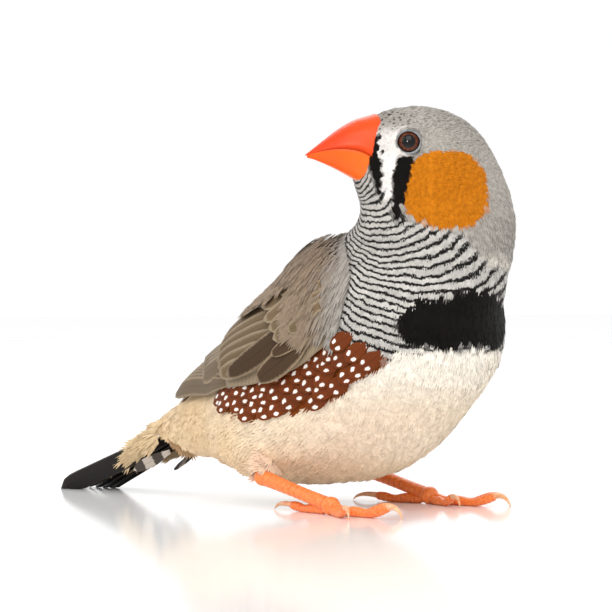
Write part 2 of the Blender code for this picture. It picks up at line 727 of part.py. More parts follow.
def make_wing(side, name, material):
    """A folded wing: a thin core with its tiers of feathers, joined at their roots."""
    sheet = WingSheet(side)
    wing = wing_core(sheet, name, material)
    pieces = []
    for tier in WING_TIERS:
        for i in range(tier.count):
            share = i / (tier.count - 1)
            root = [a + (b - a) * share for a, b in zip(*tier.roots)]
            tip = [a + (b - a) * share for a, b in zip(*tier.tips)]
            stations = QUILL if tier.name == "primaries" else COVERT
            shape = wing_vane(sheet, root, tip, tier.half_width, tier.heights, tier.tilt, stations)
            pieces.append(new_node("vane", *shape, material))
    return combine(wing, pieces)


def tail_vane(root, tip, half_width, lean, share_up):
    """A tail feather from root to tip, leaning down to its outer side."""
    root, tip = np.array(root, float), np.array(tip, float)
    centres = np.array([root + (tip - root) * s for s, _, _ in COVERT])
    way = unit(tip - root)
    side = 1.0 if root[0] + tip[0] > 0 else -1.0
    flat = unit(np.cross(way, UP)) * -side
    across = unit(flat - UP * lean)
    upright = unit(np.cross(across, way))
    upright = upright * (1.0 if upright[2] > 0 else -1.0)
    count = len(centres)
    halves = [half_width * max(breadth, share_up * (1 - s)) for s, breadth, _ in COVERT]
    thick = [VANE_THICKNESS * share for _, _, share in COVERT]
    points, faces = vane(centres, [across] * count, [upright] * count, halves, thick, 0.02)
    points[:, 2] = np.maximum(points[:, 2], 0.0)
    return points, faces


def make_tail(materials):
    """Tail feathers spread from a short core, with coverts over and under their roots."""
    centre, normal = (np.array(v, float) for v in TORSO_PLANES[0])
    back = -unit(normal)
    raised = np.cross(back, (-1.0, 0.0, 0.0))
    start = centre + back * GAP
    rings = []
    for share, half_width, half_height in TAIL_CORE:
        turn = np.linspace(0, 2 * math.pi, 16, endpoint=False)
        across = np.cos(turn)[:, None] * np.array([1.0, 0, 0]) * half_width
        rings.append(start + back * share + across + np.sin(turn)[:, None] * raised * half_height)
    tail = new_node("tail", *loft(rings), materials["tail"])
    pieces = []
    slope = (TAIL_END - start) / (TAIL_END[1] - start[1])
    for side in (-1, 1):
        for i, (shift, drop, short) in enumerate(RECTRICES):
            root = start + slope * 4.0 + np.array([side * (0.35 + 0.42 * i), 0.0, 0.3 - 0.3 * i])
            tip = start + slope * (TAIL_END[1] - start[1] - short) + np.array([side * shift, 0.0, -drop])
            pieces.append(tail_vane(root, tip, RECTRIX_HALF, RECTRIX_LEAN, 0.5))
        for x_root, rise, x_tip, length, fall, half, lean in TAIL_COVERTS:
            root = start + slope * 1.6 + np.array([side * x_root, 0.0, rise])
            tip = start + slope * length + np.array([side * x_tip, 0.0, fall])
            pieces.append(tail_vane(root, tip, half, lean, 0.8))
    combine(tail, [new_node("vane", *piece, materials["tail"]) for piece in pieces])


def clear_scene():
    for item in list(bpy.data.objects):
        bpy.data.objects.remove(item)


def main():
    clear_scene()
    materials = {
        "down": new_material("white_down", (0.85, 0.78, 0.66), 0.9),
        "grey": new_material("grey_plumage", (0.45, 0.44, 0.43), 0.9),
        "wing": new_material("wing_brown", (0.30, 0.25, 0.20), 0.8),
        "tail": new_material("tail_black", (0.05, 0.045, 0.04), 0.7),
        "bill": new_material("bill_orange", (0.95, 0.22, 0.05), 0.3),
        "leg": new_material("leg_orange", (0.95, 0.42, 0.18), 0.5),
        "eye": new_material("eye_brown", (0.16, 0.03, 0.02), 0.1),
    }
    make_body(materials)
    make_head(materials)
    make_eyes(materials)
    make_bill(materials)
    for side in FOOT_PLACES:
        make_leg(side, materials)
        make_foot(side, materials)
    make_wing(-1, "wing_right", materials["wing"])
    make_wing(1, "wing_left", materials["wing"])
    make_tail(materials)


main()
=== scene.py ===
"""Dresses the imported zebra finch: skin, feather coat, wings, tail, bill, eyes, feet and studio.

Lengths are millimetres in the bird's own frame unless a name ends in _m, and turns are degrees.
That frame has its origin on the floor midway between the feet, +X to the bird's left and -Y to
its front, and to_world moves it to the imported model's frame, in metres.
"""

import logging
import math
from dataclasses import dataclass, field
from enum import Enum
from typing import Callable, Sequence

import bpy
import numpy as np
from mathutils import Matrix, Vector
from mathutils.bvhtree import BVHTree


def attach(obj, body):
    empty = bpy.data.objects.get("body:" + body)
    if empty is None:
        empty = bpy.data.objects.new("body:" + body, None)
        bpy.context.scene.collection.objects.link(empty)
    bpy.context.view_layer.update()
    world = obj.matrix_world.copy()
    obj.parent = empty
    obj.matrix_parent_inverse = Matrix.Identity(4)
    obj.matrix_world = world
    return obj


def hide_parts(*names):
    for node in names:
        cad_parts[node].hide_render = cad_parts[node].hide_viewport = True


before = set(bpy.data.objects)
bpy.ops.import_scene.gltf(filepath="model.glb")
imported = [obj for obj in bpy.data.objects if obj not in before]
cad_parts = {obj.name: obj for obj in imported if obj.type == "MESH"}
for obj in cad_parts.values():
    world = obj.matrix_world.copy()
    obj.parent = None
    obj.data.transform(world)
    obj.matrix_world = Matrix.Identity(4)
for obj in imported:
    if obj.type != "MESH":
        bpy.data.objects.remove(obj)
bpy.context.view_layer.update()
LOG = logging.getLogger("finch")

MM = 0.001
PLACE = np.array([-0.1, -22.65, 0.0])  # from the feet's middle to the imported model's origin
UP = np.array([0.0, 0.0, 1.0])
HEAD_TURN = 111.0  # to the bird's right
EYE_LINE = np.array([-6.5, -9.3, 47.0])  # midway between the eyes
SIDES = {-1: "right", 1: "left"}

Array = np.ndarray
Piece = bpy.types.Object
Material = bpy.types.Material
Tree = bpy.types.NodeTree
Socket = bpy.types.NodeSocket

# Settings that many nodes share. A Mix of colours has its share at input 0, its colours at 6
# and 7 and its result at output 2.
STEP = {"interpolation_type": "SMOOTHSTEP"}
COLOUR = {"data_type": "RGBA"}
TINTED = {"data_type": "RGBA", "blend_type": "MULTIPLY"}
TIMES = {"operation": "MULTIPLY"}
PLUS = {"operation": "ADD"}
TIMES_PLUS = {"operation": "MULTIPLY_ADD"}
THERE_AND_BACK = {"operation": "PINGPONG"}


def unit(vectors: Array) -> Array:
    """Vectors at length one."""
    vectors = np.asarray(vectors, float)
    return vectors / np.maximum(np.linalg.norm(vectors, axis=-1, keepdims=True), 1e-12)


def smooth(low: float, high: float, value: Array) -> Array:
    """A soft step from 0 at low to 1 at high, also where low is the larger."""
    t = np.clip((np.asarray(value, float) - low) / (high - low), 0.0, 1.0)
    return t * t * (3.0 - 2.0 * t)


def blend(first: Array, second: Array, share: Array) -> Array:
    """A row of values between two, by a share for each row."""
    share = np.asarray(share)[..., None]
    return first * (1.0 - share) + second * share


def linear(code: str) -> Array:
    """The linear colour of an sRGB hex code."""
    value = np.array([int(code[i:i + 2], 16) / 255.0 for i in (1, 3, 5)])
    return np.where(value <= 0.04045, value / 12.92, ((value + 0.055) / 1.055) ** 2.4)


def head_axes() -> Array:
    """Rows left, forward and up of the turned head.

    Returns:
        Three unit vectors, one a row.
    """
    turn = math.radians(HEAD_TURN)
    forward = np.array([-math.sin(turn), -math.cos(turn), 0.0])
    return np.array([np.cross(UP, forward), forward, UP])


HEAD = head_axes()


def in_head(left: float, forward: float, up: float) -> Array:
    """A point given from the eye line along the head's own axes."""
    return EYE_LINE + np.array([left, forward, up]) @ HEAD


def to_head(points: Array) -> Array:
    """Points' left, forward and up from the eye line."""
    return (points - EYE_LINE) @ HEAD.T


def to_world(points: Array) -> Array:
    """Points of the bird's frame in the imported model's frame, in metres."""
    return (np.asarray(points, float) + PLACE) * MM


def to_bird(points: Array) -> Array:
    """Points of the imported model's frame in the bird's frame, in millimetres."""
    return np.asarray(points, float) / MM - PLACE


def noise(points: Array, size: float, seed: float = 0.0) -> Array:
    """A smooth waviness between about -1 and 1.

    Args:
        points: Where it is wanted.
        size: How wide its lumps are.
        seed: Shifts the pattern.

    Returns:
        One number for each point.
    """
    p = np.asarray(points, float) / size * 2.1 + seed
    x, y, z = p[..., 0], p[..., 1], p[..., 2]
    wave = np.sin(x + 1.7 * np.sin(0.83 * y + 0.6 * z)) + np.sin(1.31 * y + 1.3 * np.sin(1.1 * z + 0.7 * x))
    return (wave + np.sin(1.17 * z + 1.5 * np.sin(0.9 * x - 0.8 * y))) / 3.0


def per_metre(size: float) -> float:
    """The scale of a pattern whose features are this far apart."""
    return 1.0 / (size * MM)


def grey(value: float) -> tuple:
    """A plain grey for a node's colour input, in linear light."""
    return (value, value, value, 1.0)


class Slot(Enum):
    """The record's material slots."""

    BODY = "body_plumage"
    BARRED = "barred_plumage"
    HEAD = "head_plumage"
    EYE = "eye"
    BILL = "bill"
    LEGS = "legs"
    WING = "wing_feathers"
    TAIL = "tail_feathers"


def add(tree: Tree, kind: str, links: dict | None = None, out: int | str = 0, **settings: object) -> Socket:
    """Adds a node with its settings and links.

    Args:
        tree: The material's node tree.
        kind: The node's type without the ShaderNode prefix.
        links: Input name or number to an output socket, a plain value or a hex colour.
        out: Which of the node's outputs is wanted.
        settings: Properties of the node.

    Returns:
        The wanted output.
    """
    node = tree.nodes.new("ShaderNode" + kind)
    for name, value in settings.items():
        setattr(node, name, value)
    for name, value in (links or {}).items():
        if isinstance(value, bpy.types.NodeSocket):
            tree.links.new(value, node.inputs[name])
        else:
            node.inputs[name].default_value = (*linear(value), 1.0) if isinstance(value, str) else value
    return node.outputs[out]


def new_material(name: str, **values: object) -> tuple[Material, Tree]:
    """A Principled material.

    Args:
        name: The material's name.
        values: Settings of the shader's own sockets, by name with underscores for spaces.

    Returns:
        The material and its node tree.
    """
    material = bpy.data.materials.new(name)
    material.use_nodes = True
    for key, value in values.items():
        material.node_tree.nodes["Principled BSDF"].inputs[key.replace("_", " ")].default_value = value
    return material, material.node_tree


def dress(tree: Tree, colour: Socket, height: Socket | None = None, strength: float = 0.0,
          relief: float = 0.0) -> None:
    """Gives a material's shader its colour and relief.

    Args:
        tree: The material's node tree.
        colour: Its base colour.
        height: What raises the surface, from 0 to 1, where anything does.
        strength: How much of that relief shows.
        relief: How high it stands.
    """
    shader = tree.nodes["Principled BSDF"]
    tree.links.new(colour, shader.inputs["Base Color"])
    if height is not None:
        normal = add(tree, "Bump", {"Strength": strength, "Distance": relief * MM, "Height": height})
        tree.links.new(normal, shader.inputs["Normal"])


@dataclass(frozen=True)
class Plumage:
    """Contour feathers: keratin barbs, soft and matt, with a faint sheen at grazing angles."""

    name: str = "contour_feathers"
    bar_colour: str = "#1C1918"
    fleck_colour: str = "#3A3633"
    bar_share: float = 0.37  # of a bar's period that is dark
    bar_blur: float = 0.07
    mottle: float = 0.35
    fleck: float = 0.55  # between the crown's dark flecks
    roughness: float = 0.82

    def build(self) -> Material:
        """The material: its colour, bars and flecks come from attributes that each feather carries.

        Returns:
            The material.
        """
        material, tree = new_material(self.name, Roughness=self.roughness, Sheen_Weight=0.06,
                                      Sheen_Roughness=0.45, Specular_IOR_Level=0.12)
        place = add(tree, "TexCoord", out="Object")
        fine = add(tree, "TexNoise", {"Vector": place, "Scale": per_metre(self.mottle), "Detail": 2.0}, "Fac")
        tint = add(tree, "Attribute", out="Color", attribute_name="tint")
        phase, barred, flecked = (add(tree, "Attribute", out="Fac", attribute_name=word)
                                  for word in ("phase", "barred", "flecked"))
        count = add(tree, "Math", {0: fine, 1: 0.5, 2: phase}, **TIMES_PLUS)
        wave = add(tree, "Math", {0: count, 1: 0.5}, **THERE_AND_BACK)
        half = self.bar_share / 2
        dark = add(tree, "MapRange", {0: wave, 1: half + self.bar_blur, 2: half - self.bar_blur}, **STEP)
        dark = add(tree, "Math", {0: dark, 1: barred}, **TIMES)
        cells = add(tree, "TexVoronoi", {"Vector": place, "Scale": per_metre(self.fleck)}, "Distance")
        fleck = add(tree, "MapRange", {0: cells, 1: 0.42, 2: 0.26}, **STEP)
        fleck = add(tree, "Math", {0: fleck, 1: flecked}, **TIMES)
        mottled = add(tree, "MapRange", {0: fine, 1: 0.2, 2: 0.8}, **STEP)
        shade = add(tree, "Mix", {0: mottled, 6: grey(0.86), 7: grey(1.1)}, 2, **COLOUR)
        colour = add(tree, "Mix", {0: 1.0, 6: tint, 7: shade}, 2, **TINTED)
        colour = add(tree, "Mix", {0: dark, 6: colour, 7: self.bar_colour}, 2, **COLOUR)
        colour = add(tree, "Mix", {0: fleck, 6: colour, 7: self.fleck_colour}, 2, **COLOUR)
        dress(tree, colour, fine, 0.25, 0.1)
        return material


@dataclass(frozen=True)
class VaneFinish:
    """Flight feathers and large coverts: stiff barbs either side of a shaft, slightly glossy."""

    name: str
    centre: str
    edge: str
    edge_width: float = 0.16  # share of the half width that the pale fringe takes
    bars: float = 0.0  # pale bars along the feather
    spots: bool = False  # whether two white spots sit by the tip
    roughness: float = 0.62
    spot_colour: str = "#F3ECE4"
    barb_turns: float = 210.0  # radians of barb pattern along a feather, coarse enough to show
    barb_slant: float = -22.0
    grain: float = 0.3

    def build(self) -> Material:
        """The material, drawn in each feather's own map: U from shaft to edge, V from root to tip.

        Returns:
            The material.
        """
        material, tree = new_material(self.name, Roughness=self.roughness, Specular_IOR_Level=0.2)
        own = add(tree, "UVMap", out="UV", uv_map="Vane")
        across, along = add(tree, "SeparateXYZ", {0: own}).node.outputs[:2]
        place = add(tree, "TexCoord", out="Object")
        rough = add(tree, "TexNoise", {"Vector": place, "Scale": per_metre(self.grain), "Detail": 3.0}, "Fac")
        wobble = add(tree, "Math", {0: rough, 1: 0.3, 2: -0.15}, **TIMES_PLUS)
        from_shaft = add(tree, "Math", {0: across, 1: 2.0, 2: -1.0}, **TIMES_PLUS)
        from_shaft = add(tree, "Math", {0: from_shaft}, operation="ABSOLUTE")
        near_tip = add(tree, "MapRange", {0: along, 1: 0.84, 2: 1.0}, **STEP)
        reach = add(tree, "Math", {0: from_shaft, 1: near_tip}, operation="MAXIMUM")
        reach = add(tree, "Math", {0: reach, 1: wobble}, **PLUS)
        edges = {1: 1.0 - self.edge_width * 1.8, 2: 1.0 - self.edge_width * 0.3}
        fringe = add(tree, "MapRange", {0: reach, **edges}, **STEP)
        if self.bars:
            turns = add(tree, "Math", {0: along, 1: self.bars, 2: 0.25}, **TIMES_PLUS)
            turns = add(tree, "Math", {0: rough, 1: 0.2, 2: turns}, **TIMES_PLUS)
            wave = add(tree, "Math", {0: turns, 1: 0.5}, **THERE_AND_BACK)
            fringe = add(tree, "MapRange", {0: wave, 1: 0.22, 2: 0.28}, **STEP)
        colour = add(tree, "Mix", {0: fringe, 6: self.centre, 7: self.edge}, 2, **COLOUR)
        if self.spots:
            sideways = add(tree, "Math", {0: from_shaft, 1: 0.9, 2: -0.45}, **TIMES_PLUS)
            lengthways = add(tree, "Math", {0: along, 1: 2.2, 2: -1.628}, **TIMES_PLUS)
            gap = add(tree, "CombineXYZ", {0: sideways, 1: lengthways})
            gap = add(tree, "VectorMath", {0: gap}, "Value", operation="LENGTH")
            gap = add(tree, "Math", {0: gap, 1: wobble}, **PLUS)
            spot = add(tree, "MapRange", {0: gap, 1: 0.25, 2: 0.16}, **STEP)
            colour = add(tree, "Mix", {0: spot, 6: colour, 7: self.spot_colour}, 2, **COLOUR)
        slant = add(tree, "Math", {0: from_shaft, 1: self.barb_slant}, **TIMES)
        turns = add(tree, "Math", {0: along, 1: self.barb_turns, 2: slant}, **TIMES_PLUS)
        lines = add(tree, "Math", {0: turns}, operation="SINE")
        barbs = add(tree, "MapRange", {0: lines, 1: -1.0, 2: 1.0}, **STEP)
        barbs = add(tree, "Math", {0: barbs, 1: 0.45}, **TIMES)
        barbs = add(tree, "Math", {0: rough, 1: 0.55, 2: barbs}, **TIMES_PLUS)
        light = add(tree, "Mix", {0: barbs, 6: grey(0.82), 7: grey(1.12)}, 2, **COLOUR)
        shaft = add(tree, "MapRange", {0: from_shaft, 1: 0.10, 2: 0.04, 4: 0.4}, **STEP)
        light = add(tree, "Mix", {0: shaft, 6: light, 7: (0.55, 0.5, 0.45, 1.0)}, 2, **COLOUR)
        colour = add(tree, "Mix", {0: 1.0, 6: colour, 7: light}, 2, **TINTED)
        tone = add(tree, "Attribute", out="Fac", attribute_name="tone")
        colour = add(tree, "HueSaturation", {"Color": colour, "Value": tone})
        dress(tree, colour, add(tree, "Math", {0: barbs, 1: rough}, **PLUS), 0.3, 0.05)
        return material


@dataclass(frozen=True)
class BillFinish:
    """Bill horn: waxy keratin, orange-red above and paler at the base, softly glossy."""

    name: str
    tip: str
    base: str
    grain: float = 0.9

    def build(self) -> Material:
        """The material, its colour graded from base to tip along the head.

        Returns:
            The material.
        """
        material, tree = new_material(self.name, Roughness=0.34, Specular_IOR_Level=0.28,
                                      Subsurface_Weight=0.08, Subsurface_Scale=0.0005)
        reach = add(tree, "Attribute", out="Fac", attribute_name="reach")
        place = add(tree, "TexCoord", out="Object")
        grain = add(tree, "TexNoise", {"Vector": place, "Scale": per_metre(self.grain), "Detail": 3.0}, "Fac")
        reach = add(tree, "Math", {0: grain, 1: 0.35, 2: reach}, **TIMES_PLUS)
        share = add(tree, "MapRange", {0: reach, 1: 0.225, 2: 0.925}, **STEP)
        dress(tree, add(tree, "Mix", {0: share, 6: self.base, 7: self.tip}, 2, **COLOUR), grain, 0.12, 0.08)
        return material


@dataclass(frozen=True)
class HornFinish:
    """Leg scutes, claws and lids: thin horn or bare skin over flesh."""

    name: str
    colour: str
    deep: str
    roughness: float
    grain: float = 0.35
    relief: float = 0.3
    groove_shade: str = "#B8470E"  # painted shade in the grooves between the leg's scutes

    def build(self) -> Material:
        """The material, mottled between its two colours, with painted shade in the grooves between scutes
        wherever a piece marks them.

        Returns:
            The material.
        """
        material, tree = new_material(self.name, Roughness=self.roughness, Subsurface_Weight=0.15,
                                      Subsurface_Scale=0.0006)
        place = add(tree, "TexCoord", out="Object")
        grain = add(tree, "TexNoise", {"Vector": place, "Scale": per_metre(self.grain), "Detail": 3.0}, "Fac")
        share = add(tree, "MapRange", {0: grain, 1: 0.3, 2: 0.7}, **STEP)
        colour = add(tree, "Mix", {0: share, 6: self.deep, 7: self.colour}, 2, **COLOUR)
        # painted shade: the grooves between scutes are darkened in the base colour, standing in for the
        # shadow their low relief doesn't cast
        groove_shade = add(tree, "Attribute", out="Fac", attribute_name="groove_shade")
        groove_shade = add(tree, "MapRange", {0: groove_shade, 1: 0.35, 2: 1.0}, **STEP)
        colour = add(tree, "Mix", {0: groove_shade, 6: colour, 7: self.groove_shade}, 2, **COLOUR)
        dress(tree, colour, grain, self.relief, 0.08)
        return material


@dataclass(frozen=True)
class EyeFinish:
    """A wet eyeball: black pupil, red-brown iris with fine spokes, dark rim."""

    name: str = "wet_eye"
    pupil: str = "#020202"
    iris: str = "#6A2E12"
    iris_deep: str = "#3C180A"
    rim: str = "#1A0905"
    spoke: float = 0.25

    def build(self) -> Material:
        """The material; the attribute ring gives degrees from the eye's axis.

        Returns:
            The material.
        """
        material, tree = new_material(self.name, Roughness=0.03, Specular_IOR_Level=0.28)
        ring = add(tree, "Attribute", out="Fac", attribute_name="ring")
        place = add(tree, "TexCoord", out="Object")
        links = {"Vector": place, "Scale": per_metre(self.spoke), "Detail": 2.0}
        spokes = add(tree, "TexNoise", links, "Fac")
        share = add(tree, "MapRange", {0: spokes, 1: 0.3, 2: 0.7}, **STEP)
        colour = add(tree, "Mix", {0: share, 6: self.iris_deep, 7: self.iris}, 2, **COLOUR)
        share = add(tree, "MapRange", {0: ring, 1: 31.0, 2: 36.0}, **STEP)
        colour = add(tree, "Mix", {0: share, 6: colour, 7: self.rim}, 2, **COLOUR)
        share = add(tree, "MapRange", {0: ring, 1: 22.6, 2: 24.6}, **STEP)
        dress(tree, add(tree, "Mix", {0: share, 6: self.pupil, 7: colour}, 2, **COLOUR))
        return material


class Mesh:
    """Makes meshes from Blender's own operators, and copies of them from arrays."""

    @staticmethod
    def deselect() -> None:
        """Nothing stays selected."""
        if bpy.context.object and bpy.context.object.mode != "OBJECT":
            bpy.ops.object.mode_set(mode="OBJECT")
        bpy.ops.object.select_all(action="DESELECT")

    @staticmethod
    def activate(piece: Piece) -> None:
        """Only this object is selected, and it is active.

        Args:
            piece: The object.
        """
        Mesh.deselect()
        piece.select_set(True)
        bpy.context.view_layer.objects.active = piece

    @staticmethod
    def edit(piece: Piece, *steps: Callable[[], object]) -> None:
        """Runs steps in edit mode, each with the whole piece selected.

        Args:
            piece: The object.
            steps: What is done, in order.
        """
        Mesh.activate(piece)
        bpy.ops.object.mode_set(mode="EDIT")
        for step in steps:
            bpy.ops.mesh.select_all(action="SELECT")
            step()
        bpy.ops.object.mode_set(mode="OBJECT")

    @staticmethod
    def weld(threshold_m: float) -> None:
        """Merges the selected vertices that lie together."""
        bpy.ops.mesh.remove_doubles(threshold=threshold_m)

    @staticmethod
    def close_ends() -> None:
        """Fills the open ends of the mesh being edited."""
        bpy.ops.mesh.select_all(action="DESELECT")
        bpy.ops.mesh.select_non_manifold()
        bpy.ops.mesh.fill_holes(sides=0)

    @staticmethod
    def face_out() -> None:
        """Turns the selected faces outwards."""
        bpy.ops.mesh.normals_make_consistent(inside=False)

    @staticmethod
    def grid(columns: int, rows: int) -> tuple[Array, Array]:
        """A flat square grid of side 1 round the origin, to be copied.

        Args:
            columns: Faces across.
            rows: Faces along.

        Returns:
            Its points, and its faces' vertex numbers.
        """
        Mesh.deselect()
        bpy.ops.mesh.primitive_grid_add(x_subdivisions=columns, y_subdivisions=rows, size=1.0)
        piece = bpy.context.object
        points = np.array([vertex.co for vertex in piece.data.vertices])
        faces = np.array([tuple(polygon.vertices) for polygon in piece.data.polygons])
        bpy.data.objects.remove(piece)
        return points, faces

    @staticmethod
    def from_arrays(name: str, points: Array, faces: Array, corners: int = 4) -> Piece:
        """An object of faces that all have the same number of corners.

        Args:
            name: The piece's name.
            points: Points in the bird's frame, one a row.
            faces: Vertex numbers, one face a row.
            corners: Corners of each face.

        Returns:
            The object.
        """
        mesh = bpy.data.meshes.new(name)
        mesh.vertices.add(len(points))
        mesh.vertices.foreach_set("co", to_world(points).astype(np.float32).ravel())
        mesh.loops.add(len(faces) * corners)
        mesh.loops.foreach_set("vertex_index", faces.astype(np.int32).ravel())
        mesh.polygons.add(len(faces))
        mesh.polygons.foreach_set("loop_start", np.arange(0, len(faces) * corners, corners, dtype=np.int32))
        mesh.update(calc_edges=True)
        mesh.shade_smooth()
        piece = bpy.data.objects.new(name, mesh)
        bpy.context.scene.collection.objects.link(piece)
        return piece

    @staticmethod
    def add_map(mesh: bpy.types.Mesh, name: str, uv: Array) -> None:
        """A UV map, one place for each face corner."""
        mesh.uv_layers.new(name=name).data.foreach_set("uv", uv.astype(np.float32).ravel())

    @staticmethod
    def attribute(mesh: bpy.types.Mesh, name: str, values: Array) -> None:
        """A point attribute.

        Args:
            mesh: The mesh.
            name: The attribute's name.
            values: One number, or a colour of three, for each vertex.
        """
        values = np.asarray(values, np.float32)
        if values.ndim == 1:
            mesh.attributes.new(name, "FLOAT", "POINT").data.foreach_set("value", values)
            return
        full = np.ones((len(values), 4), np.float32)
        full[:, :3] = values
        mesh.attributes.new(name, "FLOAT_COLOR", "POINT").data.foreach_set("color", full.ravel())

    @staticmethod
    def read(mesh: bpy.types.Mesh, name: str = "co") -> Array:
        """Each vertex's place or normal, as the mesh holds it.

        Args:
            mesh: The mesh.
            name: co or normal.

        Returns:
            One row for each vertex.
        """
        flat = np.empty(len(mesh.vertices) * 3, np.float32)
        mesh.vertices.foreach_get(name, flat)
        return flat.reshape(-1, 3)

    @staticmethod
    def points(piece: Piece) -> Array:
        """A piece's vertices in the bird's frame."""
        return to_bird(Mesh.read(piece.data).astype(float))

    @staticmethod
    def set_points(piece: Piece, points: Array) -> None:
        """Moves a piece's vertices to points in the bird's frame."""
        piece.data.vertices.foreach_set("co", to_world(points).astype(np.float32).ravel())
        piece.data.update()

    @staticmethod
    def apply(piece: Piece, kind: str, **settings: object) -> None:
        """Adds a modifier and applies it.

        Args:
            piece: The object.
            kind: The modifier's type.
            settings: The modifier's properties.
        """
        Mesh.activate(piece)
        modifier = piece.modifiers.new(kind.lower(), kind)
        for name, value in settings.items():
            setattr(modifier, name, value)
        bpy.ops.object.modifier_apply(modifier=modifier.name)

    @staticmethod
    def settle(name: str) -> Piece:
        """Names the new primitive and puts its place into its mesh.

        Args:
            name: The piece's name.

        Returns:
            The object.
        """
        piece = bpy.context.object
        piece.name = name
        bpy.ops.object.transform_apply(location=True, rotation=True, scale=True)
        piece.data.shade_smooth()
        return piece

    @staticmethod
    def ball(name: str, centre: Array, radius: float, segments: int = 20, rings: int = 14,
             turn: Sequence[float] = (0.0, 0.0, 0.0)) -> Piece:
        """A sphere.

        Args:
            name: The piece's name.
            centre: Its middle.
            radius: Its radius.
            segments: Faces round it.
            rings: Faces from pole to pole.
            turn: Its rotation in radians.

        Returns:
            The object.
        """
        Mesh.deselect()
        bpy.ops.mesh.primitive_uv_sphere_add(segments=segments, ring_count=rings, radius=radius * MM,
                                             location=to_world(centre), rotation=turn)
        return Mesh.settle(name)

    @staticmethod
    def tube(name: str, path: Array, radii: Array, sides: int, floor: float | None = None) -> Piece:
        """A round limb: a grid rolled into a tube along a path, its ends closed.

        Args:
            name: The piece's name.
            path: Points along its middle.
            radii: Its radius at each of them.
            sides: Faces round it.
            floor: The least height, where it lies on the floor.

        Returns:
            The object.
        """
        path, radii = np.asarray(path, float), np.asarray(radii, float)
        Mesh.deselect()
        bpy.ops.mesh.primitive_grid_add(x_subdivisions=sides, y_subdivisions=len(path) - 1, size=2.0)
        piece = bpy.context.object
        piece.name = name
        flat = Mesh.read(piece.data).astype(float)
        turn = (flat[:, 0] + 1.0) * math.pi
        row = np.rint((flat[:, 1] + 1.0) / 2.0 * (len(path) - 1)).astype(int)
        ways = unit(np.gradient(path, axis=0))
        side = unit(np.cross(ways, UP))
        over = np.cross(side, ways)
        points = path[row] + side[row] * (np.cos(turn) * radii[row])[:, None]
        points = points + over[row] * (np.sin(turn) * radii[row])[:, None]
        if floor is not None:
            points[:, 2] = np.maximum(points[:, 2], floor)
        Mesh.set_points(piece, points)
        Mesh.edit(piece, lambda: Mesh.weld(0.000002), Mesh.close_ends, Mesh.face_out)
        piece.data.shade_smooth()
        return piece

    @staticmethod
    def join(pieces: Sequence[Piece], name: str) -> Piece:
        """Joins pieces into the first.

        Args:
            pieces: The objects, the first of which stays.
            name: Its new name.

        Returns:
            The joined object.
        """
        Mesh.deselect()
        for piece in pieces:
            piece.select_set(True)
        bpy.context.view_layer.objects.active = pieces[0]
        bpy.ops.object.join()
        pieces[0].name = name
        return pieces[0]


def hand_over(piece: Piece, material: Material, nodes: Sequence[str] = ()) -> None:
    """Dresses a finished piece, and lets it ride and stand for CAD nodes.

    Args:
        piece: The object.
        material: The finish.
        nodes: CAD nodes that it stands for.
    """
    piece.data.materials.clear()
    piece.data.materials.append(material)
    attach(piece, "root")
    if nodes:
        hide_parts(*nodes)
    LOG.info("%s: %d faces", piece.name, len(piece.data.polygons))


# Outlines on the side of the head, forward of the eye line, against height above it.
TEAR_HEIGHT = (-10.2, -9.7, -6.3, -3.7, -2.1, -1.5)
TEAR_BACK = (0.9, 0.5, 0.55, 0.15, -0.35, -0.3)
TEAR_FRONT = (1.2, 1.5, 1.9, 1.95, 1.6, 0.7)
# Lower end of the plain grey behind and under the cheek, below the eye line.
GREY_FORWARD = (-16.0, -14.0, -9.3, -7.0, -3.0, 0.0)
GREY_LOW = (-16.2, -15.8, -14.2, -11.3, -10.4, -9.4)
# Height of the chestnut flank's lower edge, against how far back it is.
FLANK_BACK = (-13.0, -7.7, -5.7, 0.0, 8.0, 14.0, 18.5)
FLANK_LOW = (19.4, 17.4, 15.4, 13.3, 11.8, 12.0, 13.8)
FLANK_TOP = (19.9, 21.0, 21.8, 22.0, 20.0, 18.5, 17.0)


